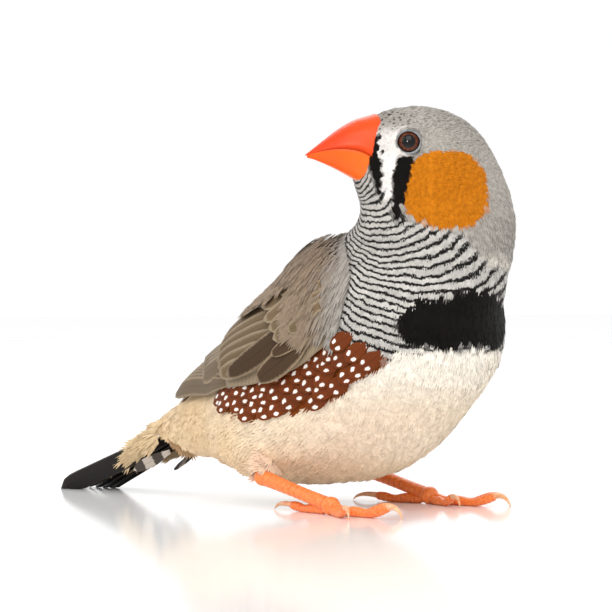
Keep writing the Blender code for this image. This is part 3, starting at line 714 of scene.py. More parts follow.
@dataclass
class Markings:
    """Where each colour of the male's plumage lies, as formulas of place."""

    grey: str = "#9E9890"
    pale_grey: str = "#BFBBB5"
    brown: str = "#8B7864"
    white: str = "#F3ECDF"
    buff: str = "#E2C59C"
    cream: str = "#EDDCC4"
    pink_buff: str = "#E8CBAA"
    black: str = "#0C0907"
    cheek: str = "#C0700C"
    chestnut: str = "#7C3B0C"
    mottle: str = "#ABA59D"  # in the grey
    face_white: str = "#EFE9E4"
    band_height: float = 25.0
    band_half: tuple = (9.6, 3.6)  # the black band's half width and half height
    cheek_middle: tuple = (-4.55, -5.85)  # ahead of and above the eye line
    cheek_half: tuple = (5.45, 4.75)
    # Centres that the bars ring, on the neck, under the bill and on the breast.
    high_from: Array = field(default_factory=lambda: np.array([-6.3, -10.0, 42.8]))
    chin_from: Array = field(default_factory=lambda: in_head(0.0, 5.5, -1.5))
    low_from: Array = field(default_factory=lambda: np.array([-2.0, -12.0, 41.6]))

    def turn_about_neck(self, p: Array) -> Array:
        """Degrees from straight ahead to the bird's right, about the neck and breast."""
        centre_y = -5.2 - 6.0 * smooth(24.0, 34.0, p[:, 2])
        return np.degrees(np.arctan2(-p[:, 0], -(p[:, 1] - centre_y)))

    def barred(self, p: Array) -> Array:
        """How far the throat's and breast's bars show.

        Args:
            p: Points in the bird's frame, one a row.

        Returns:
            A share from 0 to 1 for each point.
        """
        z = p[:, 2]
        middle = HEAD_TURN * np.clip((z - 29.0) / 13.0, 0.0, 1.0)
        half = 62.0 + 30.0 * smooth(34.0, 26.0, z)
        off = self.turn_about_neck(p) - middle + 6.0 * noise(p, 3.0)
        off = np.where(off > 0.0, np.maximum(off - 26.0, 0.0), -off)
        front = smooth(half + 7.0, half - 5.0, off)
        head = to_head(p)
        under_chin = smooth(-5.9, -6.7, head[:, 2]) * smooth(1.3, 2.0, head[:, 1])
        under_chin = np.maximum(under_chin, self.before_black(head) * smooth(-2.2, -3.0, head[:, 2]))
        edge = np.interp(head[:, 1], GREY_FORWARD, GREY_LOW) + 0.3 * noise(p, 1.8, 8.0)
        under_face = np.maximum(smooth(edge + 0.4, edge - 0.8, head[:, 2]), under_chin)
        lowest = 21.0 - 2.2 * smooth(8.5, 10.5, np.abs(p[:, 0]))
        shown = front * under_face * (1.0 - self.cheek_patch(p)) * (1.0 - self.flank(p))
        return shown * smooth(lowest - 0.3, lowest + 0.3, z) * smooth(6.0, 0.0, p[:, 1])

    @staticmethod
    def before_black(head: Array) -> Array:
        """How far points of the head lie in front of the black line beside the bill."""
        return smooth(0.0, 0.4, head[:, 1] - 4.4 - 0.3 * (head[:, 2] + 2.2))

    def phase(self, p: Array) -> Array:
        """The bars' count at a place: whole numbers are the middles of dark bars.

        Args:
            p: Points in the bird's frame, one a row.

        Returns:
            One number for each point.
        """
        middle = blend(self.high_from, self.low_from, smooth(42.0, 24.0, p[:, 2]))
        away = np.linalg.norm(p - middle, axis=1)
        rise = 0.36 * np.maximum(p[:, 1] + 9.0, 0.0) * smooth(37.0, 30.0, p[:, 2])
        chin = np.linalg.norm(p - self.chin_from, axis=1)
        count = 51.0 * np.log1p(away / 28.0)
        count = count + (chin / 0.66 - 1.7 - count) * smooth(8.0, 5.5, chin)
        return rise + count + 0.26 * noise(p, 2.6, 4.0) + 0.13 * noise(p, 1.1, 1.0)

    def breast_band(self, p: Array) -> Array:
        """The black band over the breast.

        Args:
            p: Points in the bird's frame, one a row.

        Returns:
            A share from 0 to 1 for each point.
        """
        height = np.abs(p[:, 2] - self.band_height + 0.012 * p[:, 0] ** 2) / self.band_half[1]
        wide = np.abs(p[:, 0]) / self.band_half[0]
        reach = height**2.3 + wide**2.3 + 0.24 * noise(p, 1.4, 2.0) + 0.14 * noise(p, 0.7, 6.0)
        reach = reach + 0.2 * np.cos(2.0 * math.pi * self.phase(p)) * smooth(24.0, 25.0, p[:, 2])
        return smooth(1.06, 0.94, reach) * (p[:, 1] < 0.0)

    def flank(self, p: Array) -> Array:
        """The chestnut flank under the wing's edge.

        Args:
            p: Points in the bird's frame, one a row.

        Returns:
            A share from 0 to 1 for each point.
        """
        low = np.interp(p[:, 1], FLANK_BACK, FLANK_LOW) + 0.35 * noise(p, 1.6, 1.0)
        side = smooth(6.5, 8.5, np.abs(p[:, 0]))
        ends = smooth(-13.2, -11.5, p[:, 1]) * smooth(19.5, 17.5, p[:, 1])
        top = np.interp(p[:, 1], FLANK_BACK, FLANK_TOP) + 0.3 * noise(p, 1.3, 7.0)
        return smooth(low - 0.2, low + 0.2, p[:, 2]) * smooth(top + 0.2, top - 0.2, p[:, 2]) * side * ends

    def cheek_patch(self, p: Array) -> Array:
        """The orange cheek.

        Args:
            p: Points in the bird's frame, one a row.

        Returns:
            A share from 0 to 1 for each point.
        """
        head = to_head(p)
        along, up = (np.abs(head[:, k + 1] - self.cheek_middle[k]) / self.cheek_half[k] for k in (0, 1))
        reach = along**2.6 + up**2.6
        top_back = smooth(-6.0, -11.0, head[:, 1]) * smooth(-5.0, -1.0, head[:, 2])
        reach = reach + 0.10 * noise(p, 1.2, 3.0) + 0.10 * top_back
        return smooth(1.05, 0.95, reach) * smooth(2.5, 4.0, np.abs(head[:, 0]))

    def tint(self, p: Array) -> Array:
        """The plain colour at each place, in linear light."""
        return self.face(p, self.body(p))

    def body(self, p: Array) -> Array:
        """The colours of body and neck.

        Args:
            p: Points in the bird's frame, one a row.

        Returns:
            One colour a row, in linear light.
        """
        z = p[:, 2]
        colour = np.broadcast_to(linear(self.grey), (len(p), 3)).copy()
        colour = blend(colour, linear(self.mottle), 0.5 + 0.5 * noise(p, 7.0))
        axis_height = 21.8 - 0.42 * (p[:, 1] - 2.0)
        back = smooth(-4.0, 3.0, p[:, 1] - 0.6 * (z - 34.0)) * smooth(40.0, 34.0, z)
        colour = blend(colour, linear(self.brown), back)
        under = smooth(axis_height + 3.0, axis_height, z) * smooth(36.0, 30.0, z)
        rump = smooth(20.0, 24.0, p[:, 1])
        cream = blend(linear(self.white), linear(self.cream), smooth(20.0, 12.0, z))
        warm = np.clip(smooth(0.0, 34.0, p[:, 1] + (15.0 - z)) + 0.15 * noise(p, 6.0), 0.0, 1.0)
        cream = blend(cream, linear(self.buff), warm)
        cream = blend(cream, linear(self.pink_buff), smooth(9.0, 4.0, z) * 0.8)
        belly = np.maximum(under, rump)
        barred = self.barred(p)
        colour = blend(colour, cream, belly * (1.0 - barred))
        colour = blend(colour, linear(self.pale_grey), barred)
        belly_top = z + 2.2 * smooth(8.5, 10.5, np.abs(p[:, 0]))
        colour = blend(colour, cream, smooth(21.4, 20.6, belly_top) * smooth(8.0, 2.0, p[:, 1]))
        colour = blend(colour, linear(self.black), self.breast_band(p))
        return blend(colour, linear(self.chestnut), self.flank(p))

    def face(self, p: Array, colour: Array) -> Array:
        """The same with the face's marks laid over them.

        Args:
            p: Points in the bird's frame, one a row.
            colour: The colours there, one a row.

        Returns:
            One colour a row, in linear light.
        """
        head = to_head(p)
        left, forward, up = np.abs(head[:, 0]), head[:, 1], head[:, 2]
        stripe = smooth(1.3, 1.6, forward) * smooth(4.4, 4.0, forward + 0.12 * (up + 3.0))
        stripe = stripe * (0.5 + 0.5 * smooth(0.8, -2.2, up + 0.4 * noise(p, 0.6)))
        stripe = stripe * (1.0 - self.before_black(head) * smooth(-1.6, -2.6, up))
        lowest = 0.5 * (forward - 2.0) - 7.9
        stripe = stripe * smooth(lowest, lowest + 1.0, up) * smooth(2.6, 0.6, up)
        lore = smooth(-0.4, 0.6, forward) * smooth(-2.2, -1.2, up) * smooth(2.8, 0.6, up) * 0.8
        colour = blend(colour, linear(self.face_white), np.maximum(stripe, lore))
        low = smooth(-1.6, -2.6, up)
        beak_edge = 3.2 + 0.1 * (up + 2.2) * low + (0.4 - 0.22 * low) * noise(p, 0.55)
        edge = smooth(beak_edge - 0.12, beak_edge + 0.12, forward)
        edge = edge * smooth(-7.2, -6.4, up) * smooth(4.6, 3.8, up)
        edge = edge * (1.0 - self.before_black(head) * low) * smooth(6.5, 5.5, left)
        colour = blend(colour, linear(self.black), edge)
        colour = blend(colour, linear(self.cheek), self.cheek_patch(p) * smooth(0.95, 0.65, forward))
        jag = 0.18 * noise(p, 0.9, 5.0)
        tear = smooth(-0.12, 0.12, forward - np.interp(up, TEAR_HEIGHT, TEAR_BACK) + jag)
        tear = tear * smooth(-0.12, 0.12, np.interp(up, TEAR_HEIGHT, TEAR_FRONT) + jag - forward)
        tear = tear * smooth(-10.2, -9.7, up) * smooth(-1.5, -2.0, up) * smooth(1.5, 2.5, left)
        return blend(colour, linear(self.black), tear)

    def flecked(self, p: Array) -> Array:
        """The dark flecks of forehead and crown.

        Args:
            p: Points in the bird's frame, one a row.

        Returns:
            A share from 0 to 1 for each point.
        """
        head = to_head(p)
        towards_bill = 0.25 + 0.75 * smooth(-3.0, 2.0, head[:, 1])
        return smooth(0.8, 2.2, head[:, 2]) * towards_bill * (1.0 - self.barred(p))


class Skin:
    """One skin over torso, neck and head, set in from the solids by the coat's depth."""

    def __init__(self, markings: Markings) -> None:
        """Makes the skin and keeps its coat's outside.

        Args:
            markings: The plumage's markings.
        """
        self.markings = markings
        copies = []
        for node in ("torso", "neck", "head"):
            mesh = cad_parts[node].data.copy()
            copy = bpy.data.objects.new(node + "_copy", mesh)
            copy.matrix_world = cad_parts[node].matrix_world.copy()
            bpy.context.scene.collection.objects.link(copy)
            Mesh.activate(copy)
            bpy.ops.object.transform_apply(location=True, rotation=True, scale=True)
            copies.append(copy)
        piece = Mesh.join(copies, "skin")
        Mesh.edit(piece, lambda: Mesh.weld(0.00001))
        Mesh.apply(piece, "DISPLACE", strength=0.25 * MM, mid_level=0.0)
        Mesh.apply(piece, "REMESH", mode="VOXEL", voxel_size=0.55 * MM)
        Mesh.apply(piece, "SMOOTH", factor=0.5, iterations=6)
        Mesh.apply(piece, "DISPLACE", strength=-0.22 * MM, mid_level=0.0)
        piece.data.shade_smooth()
        self.piece = piece
        self.outer = Mesh.points(piece)
        self.normals = unit(Mesh.read(piece.data, "normal"))
        self.outer_tree = self.tree(self.outer)
        self.inner = self.outer - self.normals * self.depth(self.outer)[:, None]
        Mesh.set_points(piece, self.inner)

    def tree(self, points: Array) -> BVHTree:
        """A search tree over the skin's faces with the given points."""
        faces = [tuple(polygon.vertices) for polygon in self.piece.data.polygons]
        return BVHTree.FromPolygons([tuple(p) for p in points], faces)

    def depth(self, p: Array) -> Array:
        """How far the skin lies under the coat's outside.

        Args:
            p: Points in the bird's frame, one a row.

        Returns:
            One depth for each point.
        """
        head = to_head(p)
        on_head = smooth(34.0, 40.0, p[:, 2])
        face = smooth(-3.0, 2.5, head[:, 1]) * on_head
        depth = 0.75 * (1.0 - on_head) + 0.42 * on_head
        depth = depth * (1.0 - face) + 0.24 * face
        near_tail = smooth(30.0, 40.0, p[:, 1])
        return depth * (1.0 - 0.45 * near_tail)

    def finish(self, material: Material) -> None:
        """Unwraps the skin, gives it its markings and hands it over.

        Args:
            material: The finish.
        """
        piece = self.piece
        sharpest = math.radians(66.0)
        Mesh.edit(piece, lambda: bpy.ops.uv.smart_project(angle_limit=sharpest, island_margin=0.004))
        piece.data.uv_layers[0].name = "OFBake"
        paint(piece.data, self.markings, self.outer)
        hand_over(piece, material, ("torso", "neck", "head"))

    def triangles(self) -> tuple[Array, Array]:
        """Vertex numbers and map corners of the skin's triangles.

        Returns:
            Three vertex numbers a row, and the map's places of the same corners.
        """
        mesh = self.piece.data
        mesh.calc_loop_triangles()
        corners = np.empty(len(mesh.loop_triangles) * 3, np.int32)
        loops = np.empty(len(mesh.loop_triangles) * 3, np.int32)
        mesh.loop_triangles.foreach_get("vertices", corners)
        mesh.loop_triangles.foreach_get("loops", loops)
        uv = np.empty(len(mesh.loops) * 2, np.float32)
        mesh.uv_layers["OFBake"].data.foreach_get("uv", uv)
        return corners.reshape(-1, 3), uv.reshape(-1, 2)[loops.reshape(-1, 3)]


def paint(mesh: bpy.types.Mesh, markings: Markings, points: Array) -> None:
    """Gives a mesh the markings' attributes at given places.

    Args:
        mesh: The mesh.
        markings: The plumage's markings.
        points: Where each vertex reads its markings.
    """
    Mesh.attribute(mesh, "tint", markings.tint(points))
    Mesh.attribute(mesh, "phase", markings.phase(points))
    Mesh.attribute(mesh, "barred", markings.barred(points) * (1.0 - markings.breast_band(points)))
    Mesh.attribute(mesh, "flecked", markings.flecked(points))


@dataclass
class Lie:
    """The way in which the feathers lie."""

    bill: Array = field(default_factory=lambda: in_head(0.0, 6.5, -1.0))
    body: Array = field(default_factory=lambda: unit(np.array([0.0, 0.9, -0.44])))

    def along(self, p: Array, normals: Array) -> Array:
        """Directions from feather root to tip, in the skin's face.

        Args:
            p: Points in the bird's frame, one a row.
            normals: The skin's normals there.

        Returns:
            One unit vector a row.
        """
        from_bill = unit(p - self.bill)
        down = unit(np.array([0.0, 0.25, -1.0]))
        low = smooth(44.0, 34.0, p[:, 2])
        neck = unit(blend(from_bill, down, low * 0.85))
        way = unit(blend(neck, self.body, smooth(34.0, 24.0, p[:, 2] - 0.25 * p[:, 1])))
        front = smooth(2.0, -8.0, p[:, 1]) * smooth(36.0, 26.0, p[:, 2])
        way = unit(blend(way, unit(np.array([0.0, 0.35, -1.0])), front * 0.8))
        return unit(way - normals * np.sum(way * normals, axis=1, keepdims=True))


@dataclass
class Tuft:
    """A small feather of three tapering locks of barbs, modelled once and copied."""

    locks: int = 3
    rows: int = 4
    spread: float = 0.34  # how far the outer locks lean out by their tips
    points: Array = field(init=False)
    faces: Array = field(init=False)

    def __post_init__(self) -> None:
        """Shapes each lock from a strip of the same grid."""
        strip, quads = Mesh.grid(1, self.rows)
        strip[:, 1] += 0.5
        points, faces = [], []
        for i in range(self.locks):
            lean = (i - (self.locks - 1) / 2) / max((self.locks - 1) / 2, 1)
            lock = strip.copy()
            taper = 0.55 + 0.6 * strip[:, 1] - 1.05 * strip[:, 1] ** 3
            lock[:, 0] = strip[:, 0] * taper * 0.62 + lean * (0.16 + self.spread * strip[:, 1] ** 1.5)
            lock[:, 1] = strip[:, 1] * (1.0 - 0.10 * abs(lean))
            lock[:, 2] = -0.10 * (lock[:, 0] / 0.5) ** 2 * strip[:, 1] + 0.02 * (1 - abs(lean))
            faces.append(quads + len(strip) * i)
            points.append(lock)
        self.points = np.concatenate(points)
        self.faces = np.concatenate(faces)


@dataclass
class Zone:
    """A part of the coat that makes a piece of its own."""

    name: str
    slot: Slot
    density: float  # tufts for each square millimetre
    length: float
    width: float
    lift: float  # degrees that a feather stands off the skin at its root
    inside: Callable[[Array], Array]


@dataclass
class Coat:
    """The small feathers all over skin."""

    skin: Skin
    markings: Markings
    tuft: Tuft
    lie: Lie
    material: Material
    wings: BVHTree
    sheets: dict
    seed: int = 7
    patch: float = 0.003  # size of a tuft's patch on the skin's map
    eye_clear: float = 1.75  # radius round an eye's axis that stays bare
    wing_top: float = 38.0  # no skin above this is under a wing
    wing_reach: float = 3.5  # how far off the skin a wing may cover it

    @staticmethod
    def region(p: Array) -> Array:
        """Which of the coat's pieces each point belongs to, in the order of zones.

        Args:
            p: Points in the bird's frame, one a row.

        Returns:
            One number for each point.
        """
        head, y, z = to_head(p), p[:, 1], p[:, 2]
        on_head = z > 39.5
        axis_height = 21.8 - 0.42 * (y - 2.0)
        return np.select([on_head & (head[:, 1] > -1.6), on_head & (head[:, 2] > -3.6), on_head,
                          (z > 31.0) & (y < 1.0), y < -2.0, z < axis_height], range(6), 6)

    def zones(self) -> list[Zone]:
        """The coat's pieces from bill to tail.

        Returns:
            The zones.
        """
        rows = (
            ("face_coat", Slot.HEAD, 22.0, 0.85, 0.34, 15.0),
            ("crown_coat", Slot.HEAD, 15.0, 1.5, 0.42, 15.0),
            ("cheek_coat", Slot.HEAD, 16.0, 1.5, 0.42, 16.0),
            ("neck_coat", Slot.BARRED, 11.0, 1.9, 0.5, 16.0),
            ("breast_coat", Slot.BARRED, 8.5, 2.4, 0.55, 17.0),
            ("belly_coat", Slot.BODY, 5.5, 3.2, 0.7, 15.0),
            ("back_coat", Slot.BODY, 5.5, 2.8, 0.65, 15.0),
        )
        return [Zone(*row, lambda p, number=number: self.region(p) == number)
                for number, row in enumerate(rows)]

    def roots(self, zone: Zone, rng: np.random.Generator) -> tuple[Array, Array, Array]:
        """Even random places on a zone's skin, with normals and places on its map.

        Args:
            zone: The piece's name, slot and sizes.
            rng: The source of chance.

        Returns:
            Places on the skin, the normals there, and the places on its map.
        """
        corners, uv = self.skin.triangles()
        inner, normals = self.skin.inner, self.skin.normals
        a, b, c = (inner[corners[:, k]] for k in range(3))
        area = np.linalg.norm(np.cross(b - a, c - a), axis=1) / 2.0
        keep = zone.inside((a + b + c) / 3.0)
        wanted = np.where(keep, area * zone.density, 0.0)
        count = np.floor(wanted + rng.random(len(wanted))).astype(int)
        chosen = np.repeat(np.arange(len(corners)), count)
        s, t = rng.random(len(chosen)), rng.random(len(chosen))
        fold = s + t > 1.0
        s, t = np.where(fold, 1.0 - s, s), np.where(fold, 1.0 - t, t)
        shares = np.stack([1.0 - s - t, s, t], axis=1)
        tri = corners[chosen]
        spots = np.einsum("nk,nkd->nd", shares, inner[tri])
        ways = unit(np.einsum("nk,nkd->nd", shares, normals[tri]))
        maps = np.einsum("nk,nkd->nd", shares, uv[chosen])
        return spots, ways, maps

    def clear(self, spots: Array, ways: Array) -> Array:
        """Which roots are neither under a wing, the bill nor an eye.

        Args:
            spots: The feathers' roots.
            ways: The skin's normals there.

        Returns:
            True for each root that is free.
        """
        head = to_head(spots)
        free = ~((head[:, 1] > 4.9) & (head[:, 2] < 3.9) & (head[:, 2] > -6.2))
        for side in SIDES:
            axis = Eye.axis(side)
            away = spots - Eye.centre(side)
            along = away @ axis
            off = np.linalg.norm(away - along[:, None] * axis, axis=1)
            free &= ~((along > 0.3) & (off < self.eye_clear))
        for i in np.flatnonzero(free & (spots[:, 2] < self.wing_top)):
            free[i] = self.wings.ray_cast(Vector(spots[i]), Vector(ways[i]), self.wing_reach)[0] is None
        return free

    def build(self) -> None:
        """Lays every zone's feathers."""
        rng = np.random.default_rng(self.seed)
        for zone in self.zones():
            spots, ways, maps = self.roots(zone, rng)
            free = self.clear(spots, ways)
            self.lay(zone, spots[free], ways[free], maps[free], rng)
        self.mantle(rng)
        self.tail_coverts(rng)
        self.cuffs(rng)

    def cover(self, zone: Zone, spots: Array, ways: Array, tint: str, rng: np.random.Generator) -> None:
        """Lays a zone's feathers at roots off the skin, mapped to the nearest skin.

        Args:
            zone: The piece's name, slot and sizes.
            spots: The feathers' roots.
            ways: The skin's normals there.
            tint: The feathers' colour.
            rng: The source of chance.
        """
        skin, _, maps = self.roots(zone, rng)
        nearest = np.linalg.norm(spots[:, None] - skin[None], axis=2).argmin(axis=1)
        self.lay(zone, spots, ways, maps[nearest], rng, np.tile(linear(tint), (len(spots), 1)))

    def tail_coverts(self, rng: np.random.Generator, count: int = 1100) -> None:
        """Lays the buff coverts in a wedge along both sides of the tail's root.

        Args:
            rng: The source of chance.
            count: How many are tried.
        """
        zone = Zone("tail_root_coat", Slot.TAIL, 2.0, 3.4, 0.7, 10.0, lambda p: p[:, 1] > 35.0)
        t = rng.random(count) ** 1.25
        turn = rng.uniform(-1.75, 1.75, count)
        turn = turn + np.sign(turn) * 0.25 * t
        shrink = 1.0 - 0.62 * t
        centre = Tail.START + (Tail.END - Tail.START) * (0.02 + 0.5 * t)[:, None]
        ways = np.stack([np.sin(turn), np.full(count, 0.0), np.cos(turn)], axis=1)
        spots = centre + ways * np.array([4.3, 1.0, 2.3]) * shrink[:, None] - UP * (0.9 * shrink)[:, None]
        keep = (np.abs(turn) > 0.45 + 1.2 * t) | (t < 0.12)
        self.cover(zone, spots[keep], unit(ways * np.array([0.7, 1.0, 1.0]))[keep], "#D2B891", rng)

    def cuffs(self, rng: np.random.Generator, count: int = 260) -> None:
        """Lays the pinkish feathers round both thighs.

        Args:
            rng: The source of chance.
            count: How many each thigh has.
        """
        zone = Zone("cuff_coat", Slot.BODY, 2.0, 1.9, 0.6, 14.0, lambda p: p[:, 2] < 12.0)
        spots, ways = [], []
        for leg in LEGS:
            _, ankle = leg.ends()
            top = ankle + leg.thigh()
            t = rng.random(count) * 0.85 + 0.12
            turn = rng.uniform(0.0, 2.0 * math.pi, count)
            side = unit(np.cross(top - ankle, UP))
            over = unit(np.cross(side, top - ankle))
            out = side * np.cos(turn)[:, None] + over * np.sin(turn)[:, None]
            spots.append(ankle + (top - ankle) * t[:, None] + out * (0.9 + 1.0 * t**1.5)[:, None])
            ways.append(out)
        self.cover(zone, np.concatenate(spots), np.concatenate(ways), "#EBCDB2", rng)

    def mantle(self, rng: np.random.Generator) -> None:
        """Lays the soft feathers that cover a wing's front and upper edge.

        Args:
            rng: The source of chance.
        """
        for side, word in SIDES.items():
            sheet = self.sheets[side]
            zone = Zone("mantle_" + word, Slot.BODY, 6.5, 2.9, 0.62, 13.0,
                        lambda p, side=side: (p[:, 0] * side > 0.0) & (p[:, 2] < 39.0) & (p[:, 1] > -9.0))
            spots, _, maps = self.roots(zone, rng)
            flat = sheet.grid.reshape(-1, 3)
            gaps = np.linalg.norm(spots[:, None] - flat[None], axis=2)
            nearest = gaps.argmin(axis=1)
            u = (nearest // sheet.columns) / (sheet.rows - 1.0) + rng.uniform(-0.012, 0.012, len(spots))
            v = (nearest % sheet.columns) / (sheet.columns - 1.0) + rng.uniform(-0.025, 0.025, len(spots))
            ragged = 0.05 * noise(spots, 2.2, 3.0)
            top = v < 0.40 * (1.0 - smooth(0.35, 0.72, u)) + ragged
            front = u < 0.2 * smooth(0.98, 0.75, v) + 0.4 * ragged
            keep = (gaps.min(axis=1) < 2.6) & (top | front) & (u > 0.0)
            u, v = u[keep], v[keep]
            edge = np.minimum(smooth(0.0, 0.12, u), smooth(-0.02, 0.08, v))
            height = 0.85 + 1.25 * smooth(0.06, 0.25, u) - 0.75 * smooth(0.3, 0.6, u)
            height = edge * height - 0.5 * (1.0 - edge)
            on_wing, ways = sheet.place(u, v, height)
            share = smooth(0.0, 0.12, u + 0.3 * ragged[keep])
            tint = blend(linear(self.markings.grey), linear(self.markings.brown), share)
            self.lay(zone, on_wing, ways, maps[keep], rng, tint)

    def lay(self, zone: Zone, spots: Array, ways: Array, maps: Array, rng: np.random.Generator,
            tint: Array | None = None) -> None:
        """Makes one piece of feathers.

        Args:
            zone: The piece's name, slot and sizes.
            spots: The feathers' roots.
            ways: The skin's normals there.
            maps: The roots' places on the skin's map.
            rng: The source of chance.
            tint: Plain colours to use in place of the markings.
        """
        n = len(spots)
        along = self.lie.along(spots, ways)
        across = np.cross(along, ways)
        turn = rng.normal(0.0, 0.13, n)[:, None]
        along = unit(along + across * turn)
        across = np.cross(along, ways)
        near_eye = np.full(n, 9.0)
        for side in SIDES:
            near_eye = np.minimum(near_eye, np.linalg.norm(spots - Eye.centre(side), axis=1))
        small = 0.5 + 0.5 * smooth(2.4, 4.2, near_eye)
        length = zone.length * rng.uniform(0.82, 1.15, n) * small
        width = zone.width * rng.uniform(0.85, 1.15, n) * (0.6 + 0.4 * small)
        lift = np.tan(np.radians(zone.lift * rng.uniform(0.75, 1.3, n)))
        x, y, z = self.tuft.points.T
        rise = length[:, None] * lift[:, None] * (y - 0.5 * y**2)[None] + width[:, None] * z[None]
        points = (spots[:, None] + across[:, None] * (width[:, None] * x[None] * 1.25)[..., None]
                  + along[:, None] * (length[:, None] * y[None])[..., None] + ways[:, None] * rise[..., None])
        k = len(x)
        faces = (self.tuft.faces[None] + (np.arange(n) * k)[:, None, None]).reshape(-1, 4)
        piece = Mesh.from_arrays(zone.name, points.reshape(-1, 3), faces)
        mesh = piece.data
        seen = spots + along * (length * 0.6)[:, None] + ways * 0.3
        tone = rng.normal(1.0, 0.05, n)
        colours = self.markings.tint(seen) if tint is None else tint
        marked = 1.0 if tint is None else 0.0
        Mesh.attribute(mesh, "tint", np.repeat(colours * tone[:, None], k, axis=0))
        flat = points.reshape(-1, 3)
        phase = self.markings.phase(flat) + np.repeat(rng.normal(0.0, 0.06, n), k)
        Mesh.attribute(mesh, "phase", phase)
        band = self.markings.breast_band(seen)
        Mesh.attribute(mesh, "barred", np.repeat(self.markings.barred(seen) * (1.0 - band) * marked, k))
        Mesh.attribute(mesh, "flecked", np.repeat(self.markings.flecked(seen) * marked, k))
        own = np.stack([x, y - 0.5], axis=1) * self.patch
        Mesh.add_map(mesh, "OFBake", (maps[:, None] + own[None]).reshape(-1, 2)[faces.ravel()])
        blade = Mesh.read(mesh, "normal")
        base = np.repeat(ways, k, axis=0)
        blade = blade * np.where(np.sum(blade * base, axis=1) < 0.0, -1.0, 1.0)[:, None]
        mesh.normals_split_custom_set_from_vertices(unit(blade * 0.3 + base * 0.7))
        hand_over(piece, self.material)


@dataclass
class Eye:
    """An eyeball with its bare ring of lids."""

    radius: float = 2.15
    lid_radius: float = 1.5
    lid_thickness: float = 0.26
    lid_height: float = 1.46  # from the eyeball's middle

    # The left eye's, in the head's own axes.
    AXIS = (0.92, 0.33, 0.16)
    CENTRE = (4.9, -0.6, -0.3)

    @staticmethod
    def axis(side: int) -> Array:
        """The way that an eye looks."""
        return unit((np.array(Eye.AXIS) * (side, 1, 1)) @ HEAD)

    @staticmethod
    def centre(side: int) -> Array:
        """The middle of an eyeball."""
        return in_head(side * Eye.CENTRE[0], *Eye.CENTRE[1:])

    def build(self, finish: Material, lids: Material) -> None:
        """Both eyes with their lids.

        Args:
            finish: The eyeballs' finish.
            lids: The lids' finish.
        """
        for side, word in SIDES.items():
            centre, axis = self.centre(side), self.axis(side)
            turn = Vector(axis).to_track_quat("Z", "Y").to_euler()
            ball = Mesh.ball("eyeball_" + word, centre, self.radius, 40, 32, turn)
            points = Mesh.points(ball)
            ring = np.degrees(np.arccos(np.clip(unit(points - centre) @ axis, -1.0, 1.0)))
            bulge = 0.10 * smooth(42.0, 10.0, ring)
            Mesh.set_points(ball, points + axis * bulge[:, None])
            Mesh.attribute(ball.data, "ring", ring)
            hand_over(ball, finish, ("eye_" + word,))
            Mesh.deselect()
            bpy.ops.mesh.primitive_torus_add(major_segments=56, minor_segments=14, rotation=turn,
                                             major_radius=self.lid_radius * MM,
                                             minor_radius=self.lid_thickness * MM,
                                             location=to_world(centre + axis * self.lid_height))
            lid_ring = Mesh.settle("lids_" + word)
            points = Mesh.points(lid_ring)
            away = points - centre
            level = away - (away @ axis)[:, None] * axis
            forward = unit(HEAD[1] - axis * (HEAD[1] @ axis))
            ahead, over = unit(level) @ forward, unit(level) @ np.cross(axis, forward)
            corner = 0.10 * np.abs(ahead) ** 8
            beads = 0.035 * np.sin(24.0 * np.arctan2(over, ahead))
            Mesh.set_points(lid_ring, points + level * corner[:, None] + unit(level) * beads[:, None])
            hand_over(lid_ring, lids)


